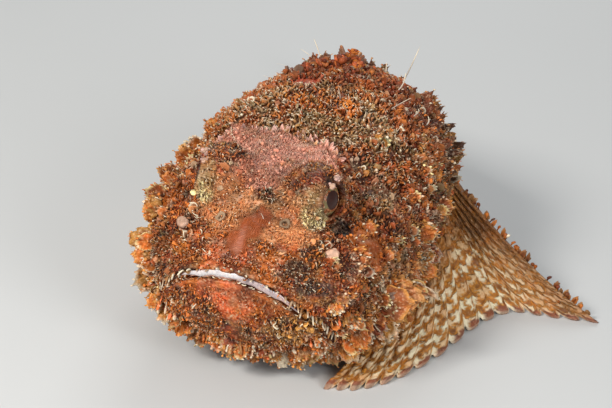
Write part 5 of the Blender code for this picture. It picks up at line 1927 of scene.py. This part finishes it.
def eye_arrays(side):
    """An eyeball with a low cornea, and the angle of each point from its axis."""
    centre, axis = eye_frame(side)
    points, faces = ball_arrays(np.zeros(3), 1.0, 49, 64, axis)
    angle = np.degrees(np.arccos(np.clip(points @ axis, -1, 1)))
    beside = np.maximum(norm(np.cross(points, axis), axis=1), 1e-6)
    oval = angle * (1 - PUPIL_TALLER * (np.abs(points[:, 2]) / beside))
    bulge = CORNEA_RISE * np.clip(1 - (angle / CORNEA_EDGE) ** 2, 0, 1)
    return *outward(centre + points * (EYE_RADIUS * (1 + bulge))[:, None], faces), oval


def eye_material():
    """Dark pupil, mottled olive iris, painted shade on the ball beyond the iris where the lids close round it,
    wet over all.
    """
    made, tree, shader = surface_of("wet_eye", 0.4, 0.12, 0.02, 0.2)
    angle = stored(tree, "gaze")
    iris = placed_group(tree, mottle, Colour=(*TONES["rust"], 1.0), Strength=1.0)["Colour"]
    iris = blend(tree, ease(tree, speckle(tree, 1.6 * MM), 0.45, 0.6), iris, (*TONES["olive"], 1.0))
    pupil = ease(tree, angle, PUPIL_EDGE - 1.0, PUPIL_EDGE + 1.0)
    colour = blend(tree, pupil, (0.040, 0.012, 0.008, 1.0), iris)
    # Painted shade: the ball beyond the iris, in the gap under the lids, is near black.
    rim = ease(tree, angle, IRIS_EDGE - 6, IRIS_EDGE)
    feed(tree, shader["Base Color"], blend(tree, rim, colour, (0.05, 0.03, 0.02, 1.0)))
    return made


eye_finish = eye_material()
for label, side in SIDES.items():
    eye_points, eye_faces, gaze = eye_arrays(side)
    eye = mesh_piece(f"eyeball_{label}", eye_points, eye_faces, eye_finish, gaze=gaze)
    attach(eye, "root")
    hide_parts(f"eye_{label}")

# %% [markdown]
# ## Fins
#
# Each fin is a fan of fleshy rays with a thin membrane between them, notched between the
# ray tips. Rays and membrane could be separate parts; one closed shell that is thicker along
# the rays has no joins to hide. The rays start inside the body, so no seam shows. The pectoral fin's pattern
# goes with its build: cream patches stand in rows on the membrane and, half a step
# further out, on the rays, and each ray ends in a round brown tip.

# %% Rays of every fin
PECTORAL_RAYS = 17
PELVIC_RAYS = 6
# Where the tips of the pectoral rays lie: to the side of the middle, and back from the jaws.
LEFT_REACH = np.array([(98, 105), (83, 101), (70, 98), (61, 82), (54, 56), (45, 35), (36, 24), (27, 20)]) * MM
RIGHT_REACH = np.array([
    (64, 136), (67, 123), (66, 108), (61, 92), (56, 77), (51, 65), (46, 56), (41, 49)]) * MM


def bent_rays(roots, knees, tips, rows):
    """Rays as curves from roots to tips that are drawn towards the knees."""
    t = np.linspace(0, 1, rows)[None, :, None]
    return roots[:, None] * (1 - t) ** 2 + knees[:, None] * 2 * t * (1 - t) + tips[:, None] * t * t


def pectoral_rays(side, reach, rows):
    """Rays that leave the body behind the gill cover and end on the floor."""
    t = np.linspace(0, 1, PECTORAL_RAYS)
    root_z = (47 - 38 * t) * MM
    root_s = gill_edge(root_z) + 5 * MM
    width, top, bottom, level = through(SECTIONS, root_s).T
    upper = root_z >= level
    lift = np.abs(root_z - level) / np.where(upper, top - level, level - bottom)
    power = np.where(upper, TOP_POWER, BOTTOM_POWER)
    half = width * (1 - lift ** power) ** (1 / power)
    roots = place(root_s, side * (half - 4 * MM), root_z)
    ends = through(np.column_stack([np.linspace(0, 1, len(reach)), reach]), t)
    tips = np.stack([side * ends[:, 0], ends[:, 1] - HEAD_TO_ORIGIN, 0 * t], axis=1)
    knees = (roots + tips) / 2
    knees[:, 0] += side * (-2 + 10 * t) * MM
    knees[:, 2] += (-7 + 10 * t) * MM
    return bent_rays(roots, knees, tips, rows)


def pelvic_rays(side, rows):
    """Rays that lie on the floor beside the belly."""
    t = np.linspace(0, 1, PELVIC_RAYS)
    roots = np.stack([side * (19 - 5 * t), 84 + 3 * t - 100, 3 + 0 * t], axis=1) * MM
    tips = np.stack([side * (38 - 13 * t), 112 + 9 * t - 100, 0 * t], axis=1) * MM
    return bent_rays(roots, (roots + tips) / 2 + np.array((side * 4, 0, -1)) * MM, tips, rows)


def median_rays(count, start, end, length, lean, way, sunk, rows):
    """Rays on the middle line of the back, way 1, or of the belly, way -1; in mm and degrees."""
    t = np.linspace(0, 1, count)
    s = (start + (end - start) * t) * MM
    line = 1 if way > 0 else 2
    level = through(SECTIONS, s)[:, line]
    slope = (through(SECTIONS, s + MM)[:, line] - through(SECTIONS, s - MM)[:, line]) / (2 * MM)
    angle = np.arctan(slope) + way * np.radians(lean(t))
    far = ((length(t) + sunk) * MM)[:, None] * np.linspace(0, 1, rows)
    along = s[:, None] + far * np.cos(angle)[:, None]
    high = (level - way * sunk * MM)[:, None] + far * np.sin(angle)[:, None]
    return place(along.ravel(), np.zeros(along.size), high.ravel()).reshape(count, rows, 3)


def caudal_rays(rows):
    """Rays of the tail fin, half folded, the lowest on the floor."""
    t = np.linspace(-1, 1, 12)
    far = (50 * (1 - 0.10 * t * t) * MM)[:, None] * np.linspace(-0.04, 1, rows)
    angle = np.radians(5 * t - 2)[:, None]
    along = BODY_END + far * np.cos(angle)
    high = ((15 + 7.4 * t) * MM)[:, None] + far * np.sin(angle)
    high = np.maximum(high, (np.arange(12) + 1.0)[:, None] * MM)
    return place(along.ravel(), np.zeros(along.size), high.ravel()).reshape(12, rows, 3)


# %% Fan of flesh and membrane
def fan_arrays(rays, thick, web, notch, columns, bumps=0.0, spare=0.22):
    """A fin as a closed shell; also gives where each point lies.

    thick and web are the half thickness in mm of ray and membrane from root to tip. The
    places are: ray number with a fraction, and distance from the tip in mm.
    """
    count, rows = rays.shape[:2]
    u = np.linspace(-spare, count - 1 + spare, (count - 1) * columns + 3)
    near = np.clip(np.round(u), 0, count - 1)
    off = np.abs(u - near)
    low_ray = np.clip(np.floor(u).astype(int), 0, count - 2)
    part = (u - low_ray)[:, None, None]
    lengths = norm(rays[:, -1] - rays[:, 0], axis=1)[near.astype(int)] / MM
    end = 1 - notch / lengths * (1 - np.sqrt(np.clip(1 - (off / 0.5) ** 2, 0, 1)))
    v = np.linspace(0, 1, rows) ** 0.9
    at = np.clip(v[None, :] * end[:, None] * (rows - 1), 0, rows - 1.0001)
    low = at.astype(int)
    share = (at - low)[..., None]

    def column(k):
        return rays[k[:, None], low] * (1 - share) + rays[k[:, None], low + 1] * share

    middle = column(low_ray) * (1 - part) + column(low_ray + 1) * part
    ahead = np.gradient(middle, axis=1)
    out = np.cross(np.gradient(middle, axis=0), ahead)
    out /= norm(out, axis=-1, keepdims=True)
    steps = norm(np.diff(middle, axis=1), axis=-1) / MM
    tipward = np.concatenate([np.cumsum(steps[:, ::-1], axis=1)[:, ::-1], np.zeros((len(u), 1))], axis=1)
    ridge = np.sqrt(np.clip(1 - (off / 0.36) ** 2, 0, 1))[:, None]
    knots = np.linspace(0, 1, len(thick))
    thick, web = np.interp(v, knots, thick) * MM, np.interp(v, knots, web) * MM
    half = web + (thick - web) * ridge
    half = half * np.clip(1 - np.exp(-tipward / 0.35), 0.15, 1)
    half = half * np.sqrt(np.clip(1 - (off / 0.5) ** 8, 0.1, 1))[:, None]
    waves = 0.5 + 0.5 * np.sin(tipward * 1.7 + near[:, None] * 2.1)
    half = half + bumps * MM * waves * ridge * (tipward > 1.0)
    half[[0, -1]] *= 0.3
    first, second = middle + out * half[..., None], middle - out * half[..., None]
    lift = np.maximum(0.0, -np.minimum(first[..., 2], second[..., 2]))
    first[..., 2] += lift
    second[..., 2] += lift
    spots = np.stack([np.repeat(u, rows), tipward.ravel()], axis=1)
    return (*shell(first, second), np.tile(spots, (2, 1)))


def chance(a, b, seed):
    """A fixed random number from 0 to 1 for each pair of whole numbers."""
    mixed = np.sin(a * 127.1 + b * 311.7 + seed * 74.7) * 43758.5453
    return mixed - np.floor(mixed)


def patch_rows(across, along, offset, period, seed):
    """Pointed patches in rows: share of patch, share of its rim, and a random number for each."""
    cell = np.floor(across + offset)
    beside = (across + offset - cell - 0.5) * 2
    beside = beside + 0.3 * (chance(cell, np.floor(along / period), seed + 1) - 0.5)
    row = (along + period * (0.25 + offset)) / period + 0.5 * (chance(cell, 0 * cell, seed) - 0.5)
    number = np.floor(row)
    ahead = (row - number) * 2 - 1
    ahead = ahead / (0.8 + 0.5 * chance(cell, number, seed + 3))
    wide = 0.15 + 0.60 * np.clip((ahead + 0.9) / 1.4, 0, 1) * (0.75 + 0.5 * chance(cell, number, seed + 4))
    inside = wide - np.abs(beside)
    body = rise(inside, 0.0, 0.12) * rise(0.47 - ahead, 0.0, 0.10) * rise(ahead + 0.72, 0.0, 0.14)
    border = rise(inside + 0.14, 0.0, 0.14) * rise(0.66 - ahead, 0.0, 0.14) * rise(ahead + 0.9, 0.0, 0.2)
    return body, border, chance(cell, number, seed + 2)


# Ground of the spread fins, border and middle of a patch, a patch in shade, tip of a ray.
FIN_GROUND = (0.50, 0.185, 0.032)
FIN_BORDER = (0.74, 0.30, 0.035)
FIN_PATCH = (1.0, 0.88, 0.60)
FIN_SHADE = (0.30, 0.13, 0.05)
FIN_TIP = (0.27, 0.085, 0.045)


def paint_pectoral(points, spots, side):
    """Rows of cream patches on orange brown, and round brown tips, with painted shade over the upper rays."""
    u, tipward = spots.T
    # Painted shade: upper, near 1 on the first rays, darkens the ground and dims the patches; on the right fin
    # it is spread more evenly.
    upper = np.clip(1 - u / 4.8, 0, 1)
    if side < 0:
        upper = upper * 0.6 + 0.2
    period = 5.9 - 1.8 * upper
    fade = 0.12 + 0.88 * (1 - rise(tipward, 21 + 5 * upper, 34 + 10 * upper))
    frayed = tipward + 1.5 * noise(points, 1.3 * MM, 35)
    shade = 0.80 + 0.35 * noise(points, 5 * MM, 31) + 0.25 * noise(points, 1.2 * MM, 36)
    tint = np.array(FIN_GROUND) * (shade * (1 - 0.42 * upper))[:, None]
    tint = toward(tint, TONES["brown"], 0.6 * rise(noise(points, 2.4 * MM, 32), 0.0, 0.5))
    raised = np.zeros(len(u))
    across = u + 0.10 * noise(points, 1.1 * MM, 37)
    for offset, seed in ((0.0, 41), (0.5, 42)):
        body, border, luck = patch_rows(across, frayed, offset, period, seed)
        bright = (0.42 + 0.58 * rise(luck, 0.12, 0.38)) * fade * (1 - 0.72 * upper)
        bright = bright * (1 - 0.35 * rise(u, 10, 14))
        tint = toward(tint, FIN_BORDER, 0.95 * border * fade * (1 - 0.8 * upper))
        tint = toward(tint, FIN_PATCH, body * bright)
        tint = toward(tint, FIN_SHADE, body * 0.6 * upper)
        raised = np.maximum(raised, body)
    off = np.abs(u - np.clip(np.round(u), 0, PECTORAL_RAYS - 1))
    tip = (1 - rise(frayed, 2.4, 3.4)) * (1 - rise(off, 0.28, 0.36))
    tint = toward(tint, FIN_TIP, tip * 0.92)
    rim = (1 - rise(tipward, 0.4, 1.0)) * (0.3 + 0.7 * rise(off, 0.15, 0.4))
    return toward(tint, TONES["cream"], rim * 0.8 * (1 - 0.7 * upper)), raised


def paint_banded(points, spots, step):
    """Brown bands and cream blotches along the rays."""
    u, tipward = spots.T
    wave = np.sin(tipward / step * math.tau / 2 + 1.6 * noise(points, 7 * MM, 33) + 0.6 * np.sin(u * 2.1))
    tint = np.tile(TONES["rust"], (len(u), 1))
    tint = toward(tint, TONES["brown"], 0.7 * rise(wave, 0.0, 0.5))
    tint = toward(tint, TONES["gold"], 0.7 * rise(-wave, 0.3, 0.8))
    tint = toward(tint, TONES["cream"], 0.75 * rise(noise(points, 2.4 * MM, 34), 0.42, 0.6))
    return tint, rise(-wave, 0.2, 0.8) * 0.4


def fin_material():
    """Thin wet flesh in the stored colours."""
    made, tree, shader = surface_of("fin_flesh", 0.5, 0.08, 0.3, 0.3)
    spread = placed_group(tree, mottle, Colour=stored(tree, "tint", "Color"), Strength=0.15)
    feed(tree, shader["Base Color"], spread["Colour"])
    height = maths(tree, "ADD", stored(tree, "raised"), maths(tree, "MULTIPLY", spread["Height"], 0.5))
    bump(tree, shader, 1.0, 0.6 * MM, height)
    return made


fin_finish = fin_material()


def fin_piece(name, node, arrays, colours, setting):
    """One fin in place of its solid, coloured by a function and its setting."""
    points, faces, spots = arrays
    tint, raised = colours(points, spots, setting)
    made = mesh_piece(name, points, faces, fin_finish, tint=tint, raised=raised)
    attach(made, "root")
    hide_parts(node)
    print(name, len(faces), "triangles")
    return made


# %% All fins
# Reach of the tips, points along a ray, columns from ray to ray.
PECTORALS = {"left": (LEFT_REACH, 130, 12), "right": (RIGHT_REACH, 70, 8)}
for label, side in SIDES.items():
    reach, rows, columns = PECTORALS[label]
    rays = pectoral_rays(side, reach, rows)
    fan = fan_arrays(rays, (2.0, 1.75, 1.5, 1.3), (1.3, 1.0, 0.75, 0.5), 4.5, columns, 0.25)
    fin_piece(f"pectoral_{label}", f"pectoral_fin_{label}", fan, paint_pectoral, side)
    fan = fan_arrays(pelvic_rays(side, 40), (1.4, 1.2, 1.05, 0.9), (0.8, 0.7, 0.6, 0.5), 4.0, 10)
    fin_piece(f"pelvic_{label}", f"pelvic_fin_{label}", fan, paint_banded, 9.0)
SPINES = median_rays(
    12, 92, 146, lambda t: 25 * (0.5 + 1.7 * t * (1 - t) - 0.2 * t), lambda t: 14 + 4 * t, 1, 5, 40)
SOFT_RAYS = median_rays(
    9, 156, 196, lambda t: 22 * (0.75 + t * (1 - t)), lambda t: 27 - 7 * t, 1, 4, 40)
ANAL_RAYS = median_rays(
    7, 171, 195, lambda t: 24 * (0.5 + 0.7 * t * (1 - t)), lambda t: 19 - 3 * t, -1, 4, 40)
# Piece, node, rays, half thickness in mm of ray and membrane, notch, step of the bands.
MEDIAN_FINS = [
    ("dorsal_spiny", "dorsal_fin_spiny", SPINES, (1.5, 1.4, 1.1, 0.5), (0.8, 0.8, 0.6, 0.4), 6.0, 8.0),
    ("dorsal_soft", "dorsal_fin_soft", SOFT_RAYS, (1.2, 1.1, 0.9, 0.6), (0.7, 0.6, 0.5, 0.4), 2.6, 8.0),
    ("anal", "anal_fin", ANAL_RAYS, (1.2, 1.1, 0.9, 0.6), (0.7, 0.6, 0.5, 0.4), 2.6, 7.0),
    ("caudal", "caudal_fin", caudal_rays(60), (3.2, 2.0, 1.3, 1.0, 0.7), (2.9, 1.5, 0.8, 0.6, 0.4), 3.0, 13.0),
]
for name, node, rays, thick, web, notch, step in MEDIAN_FINS:
    fin_piece(name, node, fan_arrays(rays, thick, web, notch, 8), paint_banded, step)

# %% [markdown]
# ## Growths on the fins
#
# Small flaps and beads line the leading edge of the spread fin, and the first spine ends in
# a red knob. They could be swellings of the fins' own shells, but separate growths keep the
# ragged outline that the rest of the coat has. Each stands on a point of the ray itself, so
# it follows the ray wherever that bends.

# %% Bumps along the leading edge of the spread fin
EDGE_ROWS = 60
EDGE_RAY = pectoral_rays(1.0, LEFT_REACH, EDGE_ROWS)[:2]
FIN_BUMPS = 64


def fin_bump():
    """A small orange flap or bead on the first ray of the spread pectoral fin."""
    t = between(0.08, 0.97)
    root = EDGE_RAY[0 if draw.random() < 0.75 else 1, int(t * (EDGE_ROWS - 1))]
    out = np.array((0.25, 0.15, 1.0)) + jitter(0.4)
    tone = some_tone(("rust", "orange", "tan", "maroon", "amber"), 0.35, 0.75)
    if draw.random() < 0.6:
        points, faces, tip = bead(root, out, between(2.0, 3.2) * MM, between(0.9, 1.9) * MM, 6)
        return points, faces, 0.45 + 0.55 * tip, tone, 0.1, root
    tip_at = root + out * between(1.8, 3.0) * MM
    shape = flap_arrays(
        root, tip_at, (0.3, -1.0, 0.2), between(1.6, 3.2) * MM, 3.0, 0.1, 0.0, (4, 9), 0.12)
    tint = 0.6 * painted_rim(shape, draw.choice(("rust", "orange", "tan")), "tan")
    return (*shape, tint, 0.0, root)


growth_piece("fin_bumps", [fin_bump() for _ in range(FIN_BUMPS)])
KNOB_WAY = np.array(up_way) + 0.5 * np.array(right_way)
# Bunches of the knob: how far up from the tip of the first spine in mm, reach, number.
KNOB_BUNCHES = [(1.0, 3.0, 16), (-0.8, 3.4, 20), (-3.0, 3.6, 16)]
KNOB_SIZE = 1.7
knobs = []
for up, reach, count in KNOB_BUNCHES:
    foot = SPINES[0, -1] + KNOB_WAY * up * MM
    knobs += bunch(foot, KNOB_WAY, reach, count, KNOB_SIZE, ("brick", "orange", "rust"))
growth_piece("spine_knob", knobs)

# %% [markdown]
# ## Floor
#
# A plain pale square carries the fish, since a shaped ground would draw the eye from it.
# It lies a hair below the fish and is stage, not part of the model.

# %% Floor
floor_finish, tree, shader = surface_of("pale_floor", 0.85)
floor_tone = blend(tree, speckle(tree, 0.3), (0.60, 0.61, 0.61, 1), (0.64, 0.65, 0.64, 1))
feed(tree, shader["Base Color"], floor_tone)
FLOOR_HALF = 1.6
FLOOR_GAP = 0.05 * MM
corners = [(x * FLOOR_HALF, y * FLOOR_HALF, -FLOOR_GAP) for x, y in ((-1, -1), (1, -1), (1, 1), (-1, 1))]
floor = mesh_piece("floor", corners, [(0, 1, 2, 3)], floor_finish)
